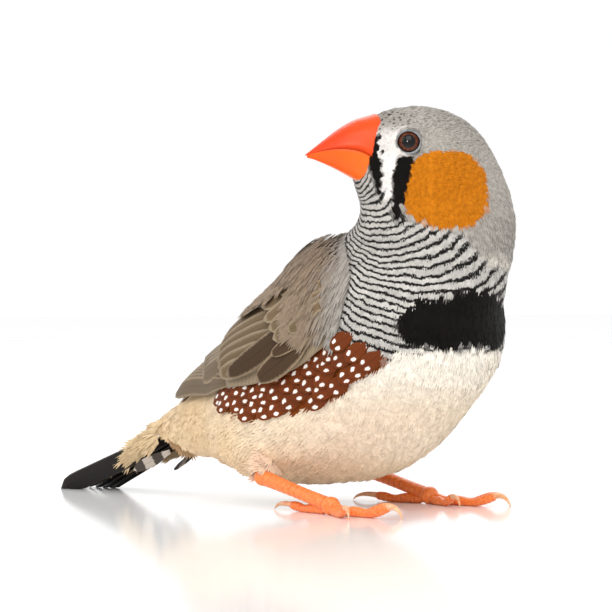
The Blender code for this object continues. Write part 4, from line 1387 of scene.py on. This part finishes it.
@dataclass
class Bill:
    """The short stout bill, its outline along the head given from the eye line."""

    forward: tuple = (2.2, 3.0, 5.0, 7.0, 9.0, 10.6, 11.5)
    culmen: tuple = (3.75, 3.5, 2.85, 1.7, 0.25, -0.95, -1.62)
    mouth: tuple = (-2.7, -2.3, -1.2, -0.85, -1.0, -1.4, -1.75)
    underside: tuple = (-5.75, -5.5, -4.45, -3.45, -2.6, -2.05, -1.9)
    half_width: tuple = (4.05, 3.9, 3.2, 2.35, 1.35, 0.55, 0.12)
    rings: int = 40
    sides: int = 40
    gape: float = 0.06  # between the closed mandibles
    core: float = 0.5  # radius of the tube that is shaped to the outline
    upper_end: float = 11.4
    lower_end: float = 11.1
    nostril: tuple = (1.75, 4.9, 2.05)

    def at(self, forward: Array, row: tuple) -> Array:
        """A smooth curve through one of the outline's rows.

        Args:
            forward: Distances ahead of the eye line.
            row: The outline's row.

        Returns:
            The curve's value at each distance.
        """
        xs, ys = np.array(self.forward), np.array(row)
        slopes = np.gradient(ys, xs)
        i = np.clip(np.searchsorted(xs, forward) - 1, 0, len(xs) - 2)
        step = xs[i + 1] - xs[i]
        t = np.clip((forward - xs[i]) / step, 0.0, 1.0)
        start = (1 + 2 * t) * (1 - t) ** 2 * ys[i] + t * (1 - t) ** 2 * step * slopes[i]
        return start + t**2 * (3 - 2 * t) * ys[i + 1] + t**2 * (t - 1) * step * slopes[i + 1]

    def half(self, name: str, upper: bool, end: float, material: Material, node: str) -> None:
        """One mandible, a grid rolled round its outline.

        Args:
            name: The piece's name.
            upper: Whether it is the upper one.
            end: How far ahead it reaches.
            material: The finish.
            node: The CAD node that it stands for.
        """
        path = np.array([in_head(0.0, f, 0.0) for f in np.linspace(self.forward[0], end, self.rings)])
        piece = Mesh.tube(name, path, np.full(self.rings, self.core), self.sides)
        local = to_head(Mesh.points(piece))
        forward = local[:, 1]
        mouth = self.at(forward, self.mouth) + (self.gape / 2 if upper else -self.gape / 2)
        far = self.at(forward, self.culmen if upper else self.underside)
        wide = self.at(forward, self.half_width) * (1.0 if upper else 0.93)
        angle = np.arctan2(local[:, 2], local[:, 0])
        radius = np.clip(np.hypot(local[:, 0], local[:, 2]) / self.core, 0.0, 1.0)
        arch = np.sin(angle) if upper else -np.sin(angle)
        side = np.sign(np.cos(angle)) * np.abs(np.cos(angle)) ** 0.85
        height = mouth + (far - mouth) * np.clip(arch, 0.0, 1.0) ** 0.95
        flat = mouth + (0.5 if upper else 0.38) * np.clip(-arch, 0.0, 1.0) * np.minimum(wide, 1.0)
        local[:, 0] = side * wide * radius
        local[:, 2] = np.where(arch > 0.0, height, flat)
        if upper:
            for way in SIDES:
                spot = np.array(self.nostril) * (way, 1, 1)
                off = np.linalg.norm(local - spot, axis=1)
                pit = 0.28 * np.exp(-((off / 0.34) ** 2))
                local[:, 0] -= way * pit * 0.6
                local[:, 2] -= pit
        Mesh.set_points(piece, EYE_LINE + local @ HEAD)
        Mesh.attribute(piece.data, "reach", (forward - self.forward[0]) / (end - self.forward[0]))
        Mesh.edit(piece, Mesh.face_out)
        hand_over(piece, material, (node,))

    def build(self, upper: Material, lower: Material) -> None:
        """Both mandibles."""
        self.half("upper_mandible", True, self.upper_end, upper, "bill_upper")
        self.half("lower_mandible", False, self.lower_end, lower, "bill_lower")


@dataclass
class Toe:
    """A toe with its claw."""

    heading: float  # degrees outwards from straight ahead
    length: float
    claw: float
    thickness: float
    lift: float
    scutes: int


@dataclass
class Leg:
    """Shank, toes and claws of one leg."""

    side: int
    x: float
    y: float
    toe_out: float
    ankle_height: float = 4.2
    shank_length: float = 14.0
    shank_radius: float = 0.8
    shank_scutes: float = 13.0
    ankle_radius: float = 1.12
    pad_radius: float = 1.2
    sole_height: float = 1.15
    claw_bend: float = 80.0
    toes: tuple = (
        Toe(-24.0, 7.6, 3.8, 0.56, 0.9, 11),
        Toe(0.0, 11.6, 4.4, 0.62, 1.0, 16),
        Toe(26.0, 8.6, 3.8, 0.56, 0.9, 12),
        Toe(184.0, 9.0, 6.4, 0.62, 0.3, 12),
    )

    @property
    def word(self) -> str:
        """Which leg this is."""
        return SIDES[self.side]

    def ends(self) -> tuple[Array, Array]:
        """Sole joint and ankle.

        Returns:
            Both points.
        """
        sole = np.array([self.x, self.y, self.sole_height])
        rise = self.ankle_height - self.sole_height
        return sole, sole + np.array([0.0, math.sqrt(self.shank_length**2 - rise**2), rise])

    def thigh(self) -> Array:
        """The way from the ankle up into the body."""
        return np.array([-3.0 * self.side, 1.6, 5.0])

    def build(self, scutes: Material, claws: Material) -> None:
        """The leg's pieces.

        Args:
            scutes: The finish of shank and toes.
            claws: The claws' finish.
        """
        sole, ankle = self.ends()
        s = np.linspace(0.0, 1.0, 90)
        path = ankle + (sole - ankle) * s[:, None]
        rings = 0.085 * np.abs(np.sin(math.pi * self.shank_scutes * s)) ** 0.6
        radii = self.shank_radius * (0.96 + 0.28 * (1 - s) ** 3 + 0.16 * s**4 + rings)
        shank = Mesh.tube("shank_" + self.word, path, radii, 18, floor=0.0)
        share = (Mesh.points(shank) - ankle) @ (sole - ankle) / self.shank_length**2
        self.score(shank, share * self.shank_scutes)
        ankle_ball = Mesh.ball("ankle_" + self.word, ankle, self.ankle_radius)
        top = ankle + self.thigh()
        t = np.linspace(0.0, 1.0, 16)
        thigh = Mesh.tube("thigh_" + self.word, ankle + (top - ankle) * t[:, None], 0.85 + 0.3 * t, 18)
        shank = Mesh.join([shank, ankle_ball, thigh], "shank_" + self.word)
        hand_over(shank, scutes, ("leg_" + self.word,))
        toes, tips = zip(*(self.toe(toe, number, sole) for number, toe in enumerate(self.toes)))
        pad = Mesh.ball("pad", sole, self.pad_radius)
        points = Mesh.points(pad)
        points[:, 2] = np.maximum(points[:, 2] - 0.05, 0.0)
        Mesh.set_points(pad, points)
        foot = Mesh.join([*toes, pad], "toes_" + self.word)
        hand_over(foot, scutes, ("foot_" + self.word,))
        hand_over(Mesh.join(tips, "claws_" + self.word), claws)

    @staticmethod
    def score(piece: Piece, count: Array) -> None:
        """Marks the grooves between scutes, at whole numbers of a count along the limb, where the finish
        paints shade into the colour.
        """
        groove_shade = np.clip(1.0 - np.abs(np.sin(math.pi * count)) * 2.2, 0.0, 1.0)
        Mesh.attribute(piece.data, "groove_shade", groove_shade)

    def toe(self, toe: Toe, number: int, sole: Array) -> tuple[Piece, Piece]:
        """A toe and its claw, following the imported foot's own curve.

        Args:
            toe: Its sizes.
            number: Its place in the row.
            sole: Where the toes meet.

        Returns:
            The toe and the claw.
        """
        a = math.radians(toe.heading * self.side + self.toe_out)
        ahead = np.array([math.sin(a), -math.cos(a), 0.0])
        flat = sole * (1, 1, 0)
        s = np.linspace(0.0, 1.04, 80)
        radius = toe.thickness * (1.12 - 0.3 * s + 0.1 * np.cos(2 * math.pi * 2.25 * s))
        height = radius * 0.9 + (self.sole_height - radius * 0.9) * np.maximum(0.0, 1 - s / 0.3) ** 2
        height = height + toe.lift * np.maximum(0.0, (s - 0.6) / 0.4) ** 2
        ridge = 0.11 * np.abs(np.sin(math.pi * toe.scutes * s)) ** 0.6
        end = np.sqrt(np.clip((1.04 - s) / 0.05, 0.02, 1.0))
        path = flat + ahead * (toe.length * s)[:, None] + UP * height[:, None]
        body = Mesh.tube(f"toe_{number}", path, radius * (0.93 + ridge) * end, 14, floor=0.0)
        self.score(body, (Mesh.points(body) - flat) @ ahead / toe.length * toe.scutes)
        t = np.linspace(0.0, 1.0, 26)
        bend = math.radians(self.claw_bend)
        drop = bend * t
        start = toe.lift + toe.thickness * 0.75
        fall = (1 - np.cos(drop)) / (1 - math.cos(bend))
        height = np.maximum(start + 0.25 * np.sin(math.pi * t) - (start - 0.08) * fall, 0.08)
        run = toe.length * 0.975 + toe.claw * np.sin(drop) / bend
        path = flat + ahead * run[:, None] + UP * height[:, None]
        claw = Mesh.tube(f"claw_{number}", path, toe.thickness * 0.62 * (1 - t) ** 0.75 + 0.03, 12, floor=0.0)
        return body, claw


LEGS = (Leg(-1, -12.6, -4.9, -3.0), Leg(1, 12.5, 4.3, 5.0))


@dataclass
class Sheet:
    """The face on which a folded wing lies, as a grid a little off the body."""

    side: int
    skin: Skin
    rows: int = 41
    columns: int = 21
    off_body: float = 0.34
    grid: Array = field(init=False)
    normals: Array = field(init=False)

    # Rows from shoulder to tip, each from the wing's top edge to its lower edge, on the left.
    GUIDE = np.array([
        [(6.0, -2.5, 34.5), (12.6, -7.5, 30.0), (14.6, -6.5, 22.5)],
        [(4.0, 3.0, 33.5), (13.0, 1.0, 27.0), (15.0, 0.0, 18.5)],
        [(2.2, 11.0, 31.0), (12.0, 10.0, 23.0), (14.2, 8.0, 16.2)],
        [(1.2, 20.0, 26.0), (9.5, 19.0, 19.0), (11.0, 19.0, 14.8)],
        [(0.8, 29.0, 19.5), (5.6, 28.5, 17.0), (7.5, 28.0, 14.0)],
        [(0.8, 38.0, 14.4), (2.6, 37.5, 13.8), (4.2, 36.5, 13.0)],
    ])

    def __post_init__(self) -> None:
        """Lays the guide's smooth face on the body."""
        us, vs = np.linspace(0, 1, self.rows), np.linspace(0, 1, self.columns)
        guide = self.GUIDE * np.array([self.side, 1.0, 1.0])
        rows = [[self.curve(guide[:, k], u) for k in range(3)] for u in us]
        grid = np.array([[self.curve(row, v) for v in vs] for row in rows])
        for i in range(self.rows):
            for j in range(self.columns):
                spot, normal, _, _ = self.skin.outer_tree.find_nearest(Vector(grid[i, j]))
                grid[i, j] = np.array(spot) + np.array(normal) * self.off_body
        grid[..., 0] = self.side * np.maximum(grid[..., 0] * self.side, 0.3)
        for _ in range(3):
            inner = (grid[:-2, 1:-1] + grid[2:, 1:-1] + grid[1:-1, :-2] + grid[1:-1, 2:]) / 4
            grid[1:-1, 1:-1] = grid[1:-1, 1:-1] * 0.5 + inner * 0.5
        normal = np.cross(np.gradient(grid, axis=0), np.gradient(grid, axis=1))
        self.normals = unit(normal) * (1.0 if np.mean(normal[..., 0]) * self.side > 0 else -1.0)
        self.grid = grid

    @staticmethod
    def curve(keys: Sequence[Array], t: float) -> Array:
        """A smooth curve through key points, at t from 0 to 1.

        Args:
            keys: Key points, evenly spaced in t.
            t: Where on the curve.

        Returns:
            The point there.
        """
        keys = np.asarray(keys, float)
        place = min(max(t, 0.0), 1.0) * (len(keys) - 1)
        i = min(int(place), len(keys) - 2)
        f = place - i
        before = keys[i - 1] if i > 0 else 2 * keys[0] - keys[1]
        after = keys[i + 2] if i + 2 < len(keys) else 2 * keys[-1] - keys[-2]
        a, b = keys[i], keys[i + 1]
        bend = (2 * before - 5 * a + 4 * b - after) * f**2 + (3 * a - before - 3 * b + after) * f**3
        return 0.5 * (2 * a + (b - before) * f + bend)

    def place(self, u: Array, v: Array, height: Array) -> tuple[Array, Array]:
        """Points above the sheet, and its normals there.

        Args:
            u: Shares of the way from shoulder to tip.
            v: Shares of the way from top edge to lower edge.
            height: How far above the sheet.

        Returns:
            The points and the normals, one a row.
        """
        x = np.clip(u, 0.0, 1.0) * (self.rows - 1)
        y = np.clip(v, 0.0, 1.0) * (self.columns - 1)
        i = np.minimum(x.astype(int), self.rows - 2)
        j = np.minimum(y.astype(int), self.columns - 2)
        f, g = (x - i)[..., None], (y - j)[..., None]

        def look(table: Array) -> Array:
            """The table's values between its grid's points."""
            near = table[i, j] * (1 - g) + table[i, j + 1] * g
            return near * (1 - f) + (table[i + 1, j] * (1 - g) + table[i + 1, j + 1] * g) * f

        normal = unit(look(self.normals))
        return look(self.grid) + normal * np.asarray(height)[..., None], normal


@dataclass
class Blade:
    """A feather's vane, modelled once: a grid with a rounded tip, mapped from shaft to edge."""

    columns: int = 8
    rows: int = 16
    map: Array = field(init=False)
    faces: Array = field(init=False)
    x: Array = field(init=False)  # -1 to 1 across
    s: Array = field(init=False)  # 0 at the root to 1 at the tip

    def __post_init__(self) -> None:
        """Keeps the grid's points and faces."""
        points, self.faces = Mesh.grid(self.columns, self.rows)
        self.map = points[:, :2] + 0.5
        self.x, self.s = self.map[:, 0] * 2.0 - 1.0, self.map[:, 1]

    def outline(self, blunt: float) -> Array:
        """The vane's half width along its length, as a share of the most.

        Args:
            blunt: Share of the length that the rounded tip takes.

        Returns:
            One share for each of the grid's points.
        """
        body = 0.42 + 0.58 * smooth(0.0, 0.45, self.s)
        tip = np.clip((self.s - 1.0 + blunt) / blunt, 0.0, 1.0)
        return body * np.sqrt(np.clip(1.0 - tip**2, 0.004, 1.0))


class Look(Enum):
    """Finishes of the wing's and tail's feathers."""

    COVERT = "wing_covert"
    DARK = "dark_covert"
    FLIGHT = "flight_feather"
    FLANK = "flank_feather"
    TAIL = "tail_feather"
    BARRED = "barred_covert"


@dataclass
class Tier:
    """Feathers side by side on the wing: roots and tips as shares of its length and breadth."""

    name: str
    look: Look
    count: int
    roots: tuple
    tips: tuple
    half_width: float
    heights: tuple
    tilt: float
    blunt: float = 0.22
    tone: float = 1.0


@dataclass
class Feathers:
    """Gathers vanes of one look into one mesh."""

    blade: Blade
    points: dict = field(default_factory=dict)
    tones: dict = field(default_factory=dict)

    def add(self, look: Look, points: Array, tone: float) -> None:
        """Adds one vane's points."""
        self.points.setdefault(look, []).append(points)
        self.tones.setdefault(look, []).append(np.full(len(points), tone))

    def build(self, word: str, slot: Slot, materials: dict, thickness: float, nodes: Sequence[str]) -> None:
        """One solid piece for each look.

        Args:
            word: The end of each piece's name.
            slot: Not used.
            materials: The finish for each look.
            thickness: The vanes' thickness.
            nodes: CAD nodes that each piece stands for.
        """
        for look, parts in self.points.items():
            k = len(self.blade.map)
            faces = np.concatenate([self.blade.faces + k * i for i in range(len(parts))])
            piece = Mesh.from_arrays(f"{look.value}s_{word}", np.concatenate(parts), faces)
            Mesh.add_map(piece.data, "Vane", np.tile(self.blade.map, (len(parts), 1))[faces.ravel()])
            Mesh.attribute(piece.data, "tone", np.concatenate(self.tones[look]))
            Mesh.apply(piece, "SOLIDIFY", thickness=thickness * MM, offset=0.0)
            hand_over(piece, materials[look], nodes)


@dataclass
class Wing:
    """A folded wing: a bed under overlapping tiers of feathers, softly covered at its top."""

    side: int
    sheet: Sheet
    blade: Blade
    rng: np.random.Generator

    TIERS = (
        Tier("primaries", Look.FLIGHT, 7, ((0.44, 0.60), (0.44, 0.95)), ((0.90, 0.46), (1.0, 0.84)),
             1.3, (0.5, 0.8), 0.3, 0.2, 0.92),
        Tier("secondaries", Look.FLIGHT, 6, ((0.40, 0.34), (0.42, 0.66)), ((0.84, 0.30), (0.68, 0.72)),
             1.6, (0.55, 1.3), 0.22, 0.2),
        Tier("tertials", Look.FLIGHT, 4, ((0.36, 0.06), (0.38, 0.38)), ((0.92, 0.08), (0.80, 0.36)),
             1.9, (0.5, 1.5), 0.18, 0.25, 1.05),
        Tier("greater coverts", Look.COVERT, 8, ((0.24, 0.20), (0.28, 0.80)), ((0.60, 0.24), (0.50, 0.86)),
             1.35, (0.6, 1.75), 0.2, 0.3),
        Tier("primary coverts", Look.DARK, 2, ((0.16, 0.62), (0.10, 0.80)), ((0.455, 0.90), (0.345, 1.0)),
             1.75, (0.7, 1.95), 0.1, 0.42),
        Tier("alula", Look.DARK, 1, ((0.06, 0.74), (0.06, 0.74)), ((0.27, 0.86), (0.27, 0.86)),
             1.1, (-0.3, 2.15), 0.1, 0.4, 1.15),
        Tier("median coverts", Look.COVERT, 6, ((0.10, 0.22), (0.08, 0.66)), ((0.40, 0.22), (0.27, 0.74)),
             1.55, (0.7, 1.95), 0.14, 0.45, 1.06),
        Tier("lesser coverts", Look.COVERT, 6, ((0.07, 0.30), (0.05, 0.70)), ((0.29, 0.32), (0.19, 0.74)),
             1.3, (-0.7, 2.0), 0.1, 0.5, 1.04),
    )

    def vane(self, root: Array, tip: Array, tier: Tier) -> Array:
        """One feather's points on the wing.

        Args:
            root: Its root, as shares of the wing's length and breadth.
            tip: Its tip.
            tier: The tier that it belongs to.

        Returns:
            One point a row.
        """
        s, x = self.blade.s, self.blade.x
        u, v = root[:, None] + (tip - root)[:, None] * s
        height = tier.heights[0] + (tier.heights[1] - tier.heights[0]) * s**0.65
        centre, normal = self.sheet.place(u, v, height)
        step = (tip - root) * 0.01
        ahead, _ = self.sheet.place(u + step[0], v + step[1], height)
        way = unit(ahead - centre + 1e-9)
        across = unit(np.cross(normal, way)) * self.side
        leaned = unit(across + normal * tier.tilt)
        half = tier.half_width * self.blade.outline(tier.blunt)
        droop = 0.05 * (half * x) ** 2
        return centre + leaned * (half * x)[:, None] - normal * droop[:, None]

    def build(self, materials: dict, word: str) -> None:
        """The wing's bed and its tiers.

        Args:
            materials: The finish for each look.
            word: Right or left, for the piece's name.
        """
        self.bed(materials[Look.COVERT], word)
        feathers = Feathers(self.blade)
        for tier in self.TIERS:
            for i in range(tier.count):
                share = i / max(tier.count - 1, 1)
                root, tip = (np.array(ends[0]) * (1 - share) + np.array(ends[1]) * share
                             for ends in (tier.roots, tier.tips))
                tip = tip + self.rng.normal(0.0, 0.004, 2)
                feathers.add(tier.look, self.vane(root, tip, tier), tier.tone * self.rng.uniform(0.93, 1.07))
        feathers.build(word, Slot.WING, materials, 0.1, ())

    def bed(self, material: Material, word: str) -> None:
        """The wing's fleshy front part under the feathers.

        Args:
            material: The finish.
            word: Right or left, for the piece's name.
        """
        Mesh.deselect()
        bpy.ops.mesh.primitive_grid_add(x_subdivisions=24, y_subdivisions=30, size=1.0)
        piece = bpy.context.object
        piece.name = "wing_bed_" + word
        flat = np.array([v.co for v in piece.data.vertices]) + 0.5
        u, v = flat[:, 1] * 0.5, flat[:, 0]
        swell = np.sin(math.pi * np.clip(v, 0.02, 0.98)) ** 0.5 * np.minimum(1.0, 0.3 + u * 4.0)
        sunk = np.minimum(smooth(0.0, 0.12, u), smooth(-0.02, 0.08, v))
        points, _ = self.sheet.place(u, v, (0.3 + 0.45 * swell) * sunk - 1.5 * (1.0 - sunk))
        Mesh.set_points(piece, points)
        piece.data.uv_layers[0].name = "Vane"
        Mesh.attribute(piece.data, "tone", np.ones(len(points)))
        Mesh.apply(piece, "SOLIDIFY", thickness=0.3 * MM, offset=0.0)
        piece.data.shade_smooth()
        hand_over(piece, material, ("wing_" + word,))


@dataclass
class Flank:
    """The chestnut flank's feathers, each with two white spots by its tip."""

    skin: Skin
    markings: Markings
    blade: Blade
    rng: np.random.Generator
    length: float = 3.6
    half_width: float = 1.15
    step: float = 1.85
    reach: float = 2.9  # from root to where the markings are read
    way: tuple = (0.0, 0.86, -0.5)

    def build(self, materials: dict) -> None:
        """Rows of feathers along both flanks.

        Args:
            materials: The finish for each look.
        """
        for side, word in SIDES.items():
            feathers = Feathers(self.blade)
            for row, y in enumerate(np.arange(19.0, -12.5, -self.step)):
                shift = self.step * 0.55 * (row % 2)
                for z in np.arange(9.5 + shift, 23.5, self.step * 1.1):
                    start = np.array([side * 30.0, y, z]) + self.rng.normal(0.0, 0.16, 3)
                    inwards = Vector((-side, 0.0, 0.0))
                    spot, normal, _, _ = self.skin.outer_tree.ray_cast(Vector(start), inwards)
                    if spot is None:
                        continue
                    spot, normal = np.array(spot), np.array(normal)
                    way = unit(np.array(self.way) + self.rng.normal(0.0, 0.05, 3))
                    way = unit(way - normal * (way @ normal))
                    if self.markings.flank((spot + way * self.reach)[None])[0] < 0.4:
                        continue
                    feathers.add(Look.FLANK, self.vane(spot, way, normal), self.rng.uniform(0.85, 1.2))
            feathers.build(word, Slot.BARRED, materials, 0.06, ())

    def vane(self, spot: Array, way: Array, normal: Array) -> Array:
        """One feather's points, following the flank's curve.

        Args:
            spot: Its root.
            way: The way it lies.
            normal: The skin's normal there.

        Returns:
            One point a row.
        """
        s, x = self.blade.s, self.blade.x
        across = np.cross(way, normal)
        half = self.half_width * self.blade.outline(0.5)
        points = spot + way * (self.length * s)[:, None] + across * (half * x)[:, None]
        height = -0.25 + 0.85 * s
        out = np.empty_like(points)
        for i, point in enumerate(points):
            near, up, _, _ = self.skin.outer_tree.find_nearest(Vector(point))
            out[i] = np.array(near) + np.array(up) * (height[i] - 0.06 * x[i] ** 2)
        return out


@dataclass
class Tail:
    """Twelve tail feathers closed in a narrow fan, with their coverts."""

    blade: Blade
    rng: np.random.Generator
    pairs: int = 6

    START = np.array([0.0, 41.3, 9.0])
    END = np.array([0.0, 66.3, 0.45])

    def vane(self, root: Array, tip: Array, half: float, lean: float, blunt: float) -> Array:
        """One feather's points, leaning down to its outer side.

        Args:
            root: Where the feather starts.
            tip: Where it ends.
            half: Its greatest half width.
            lean: How steeply it leans.
            blunt: Share of the length that the rounded tip takes.

        Returns:
            One point a row.
        """
        s, x = self.blade.s, self.blade.x
        way = unit(tip - root)
        side = 1.0 if root[0] + tip[0] > 0 else -1.0
        across = unit(unit(np.cross(way, UP)) * -side - UP * lean)
        upright = unit(np.cross(across, way))
        upright = upright if upright[2] > 0 else -upright
        width = half * self.blade.outline(blunt)
        points = root + (tip - root) * s[:, None] + across * (width * x)[:, None]
        points = points - upright * (0.03 * (width * x) ** 2)[:, None]
        points[:, 2] = np.maximum(points[:, 2], 0.06)
        return points

    def build(self, materials: dict) -> None:
        """All tail feathers.

        Args:
            materials: The finish for each look.
        """
        feathers = Feathers(self.blade)
        slope = (self.END - self.START) / (self.END[1] - self.START[1])
        length = self.END[1] - self.START[1]
        for side in SIDES:
            for i in range(self.pairs):
                shift = 0.5 + 0.76 * i
                drop = 0.055 * shift**2
                short = 0.4 if i == 0 else max(0.0, 0.62 * (i - 2.2))
                root = self.START + slope * 2.0 + np.array([side * (0.3 + 0.3 * i), 0.0, 0.35 - 0.22 * i])
                tip = self.START + slope * (length - short) + np.array([side * shift, 0.0, -drop])
                vane = self.vane(root, tip, 1.5, 0.15 + 0.28 * i, 0.16)
                feathers.add(Look.TAIL, vane, self.rng.uniform(0.85, 1.15))
            root = self.START + np.array([side * 2.6, 0.0, -2.9])
            tip = self.START + slope * 7.0 + np.array([side * 3.6, 0.0, -3.3])
            feathers.add(Look.BARRED, self.vane(root, tip, 0.9, 1.4, 0.4), 1.0)
        feathers.build("tail", Slot.TAIL, materials, 0.12, ())
        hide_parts("tail")


@dataclass
class Studio:
    """Floor, lights and camera, as the photograph has them."""

    azimuth: float = -40.0
    distance: float = 450.0
    height: float = 28.0
    scale: float = 0.13  # millimetres to a pixel at the feet's depth
    pixels: int = 612
    sensor_mm: float = 36.0
    aim_px: float = 380.5  # photo column and row that the camera looks at
    floor_px: float = 509.0
    floor_size_m: float = 6.0
    backdrop: float = 1.02
    aim_m: tuple = (0.0, 0.0, 0.03)  # where the lights point
    # Name, place and size in metres, and power in watts.
    lamps: tuple = (
        ("key", (-0.35, -0.45, 0.6), 0.5, 1.9),
        ("fill", (-0.5, 0.1, 0.35), 0.4, 0.5),
        ("rim", (0.35, 0.4, 0.5), 0.4, 0.9),
        ("glint", (-0.50, -0.46, 0.27), 0.06, 0.7),
    )

    def build(self) -> None:
        """Everything round the bird."""
        self.camera()
        self.floor()
        self.lights()

    def camera(self) -> None:
        """A long lens from the bird's right front, low down."""
        a = math.radians(self.azimuth)
        right = np.array([math.cos(a), math.sin(a), 0.0])
        away = np.array([-math.sin(a), math.cos(a), 0.0])
        middle = self.pixels / 2
        target = right * (middle - self.aim_px) * self.scale + UP * (self.floor_px - middle) * self.scale
        eye = target - away * self.distance
        eye[2] = self.height
        data = bpy.data.cameras.new("camera")
        data.sensor_width = self.sensor_mm
        data.lens = self.sensor_mm * self.distance / (self.pixels * self.scale)
        data.clip_start = 0.01
        camera = bpy.data.objects.new("camera", data)
        bpy.context.scene.collection.objects.link(camera)
        camera.location = to_world(eye)
        camera.rotation_euler = Vector(target - eye).to_track_quat("-Z", "Y").to_euler()
        bpy.context.scene.camera = camera
        bpy.context.scene.view_settings.view_transform = "Standard"

    def floor(self) -> None:
        """A pale, slightly glossy floor."""
        Mesh.deselect()
        bpy.ops.mesh.primitive_plane_add(size=self.floor_size_m, location=(0.0, 0.0, 0.0))
        floor = bpy.context.object
        floor.name = "floor"
        material, tree = new_material("white_gloss_floor", Roughness=0.1, Specular_IOR_Level=0.14)
        place = add(tree, "TexCoord", out="Object")
        cloud = add(tree, "TexNoise", {"Vector": place, "Scale": 6.0}, "Fac")
        dress(tree, add(tree, "Mix", {0: cloud, 6: "#FEFEFE", 7: "#FFFFFF"}, 2, **COLOUR))
        floor.data.materials.append(material)

    def lights(self) -> None:
        """Large soft lights above, in front and behind."""
        world = bpy.data.worlds.new("studio")
        bpy.context.scene.world = world
        world.use_nodes = True
        background = world.node_tree.nodes["Background"]
        background.inputs[0].default_value = grey(1.0)
        background.inputs[1].default_value = self.backdrop
        for name, place, size, power in self.lamps:
            data = bpy.data.lights.new(name, "AREA")
            data.size = size
            data.energy = power
            light = bpy.data.objects.new(name, data)
            bpy.context.scene.collection.objects.link(light)
            light.location = place
            light.rotation_euler = (Vector(self.aim_m) - Vector(place)).to_track_quat("-Z", "Y").to_euler()


WING_SEED = 11


def wing_tree() -> BVHTree:
    """A search tree over both packed wings, in the bird's frame.

    Returns:
        The tree.
    """
    points, faces = [], []
    for word in SIDES.values():
        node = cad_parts["wing_" + word]
        base = len(points)
        points += [tuple(to_bird(node.matrix_world @ vertex.co)) for vertex in node.data.vertices]
        faces += [tuple(base + i for i in polygon.vertices) for polygon in node.data.polygons]
    return BVHTree.FromPolygons(points, faces)


def main() -> None:
    """Builds the whole bird in order."""
    logging.basicConfig(level=logging.INFO, format="%(message)s")
    rng = np.random.default_rng(WING_SEED)
    markings = Markings()
    plumage = Plumage().build()
    looks = {
        Look.COVERT: VaneFinish("covert_vane", "#6B5840", "#918068", 0.3).build(),
        Look.DARK: VaneFinish("dark_vane", "#412F1D", "#8A775F", 0.16).build(),
        Look.FLIGHT: VaneFinish("flight_vane", "#65533C", "#8D7A60", 0.22, roughness=0.55).build(),
        Look.FLANK: VaneFinish("flank_vane", "#6A2D02", "#783A08", 0.08, spots=True).build(),
        Look.TAIL: VaneFinish("tail_vane", "#1A1613", "#3A322A", 0.08, roughness=0.5).build(),
        Look.BARRED: VaneFinish("barred_vane", "#4A423B", "#BFB4A8", 0.1, bars=2.0).build(),
    }
    skin = Skin(markings)
    skin.finish(plumage)
    sheets = {side: Sheet(side, skin) for side in SIDES}
    Coat(skin, markings, Tuft(), Lie(), plumage, wing_tree(), sheets).build()
    Eye().build(EyeFinish().build(), HornFinish("eye_ring", "#9C9FA0", "#77797A", 0.6, 0.2).build())
    Bill().build(BillFinish("upper_bill_horn", "#EA3A00", "#F24800").build(),
                 BillFinish("lower_bill_horn", "#F65A06", "#FA6C12").build())
    scutes = HornFinish("leg_scutes", "#FA8E48", "#EE7430", 0.42).build()
    claws = HornFinish("claw_horn", "#F2BE96", "#DE9C6C", 0.3, 0.8, 0.1).build()
    for leg in LEGS:
        leg.build(scutes, claws)
    blade = Blade()
    for side, word in SIDES.items():
        Wing(side, sheets[side], blade, rng).build(looks, word)
    Flank(skin, markings, blade, rng).build(looks)
    Tail(blade, rng).build(looks)
    Studio().build()


if __name__ == "__main__":
    main()
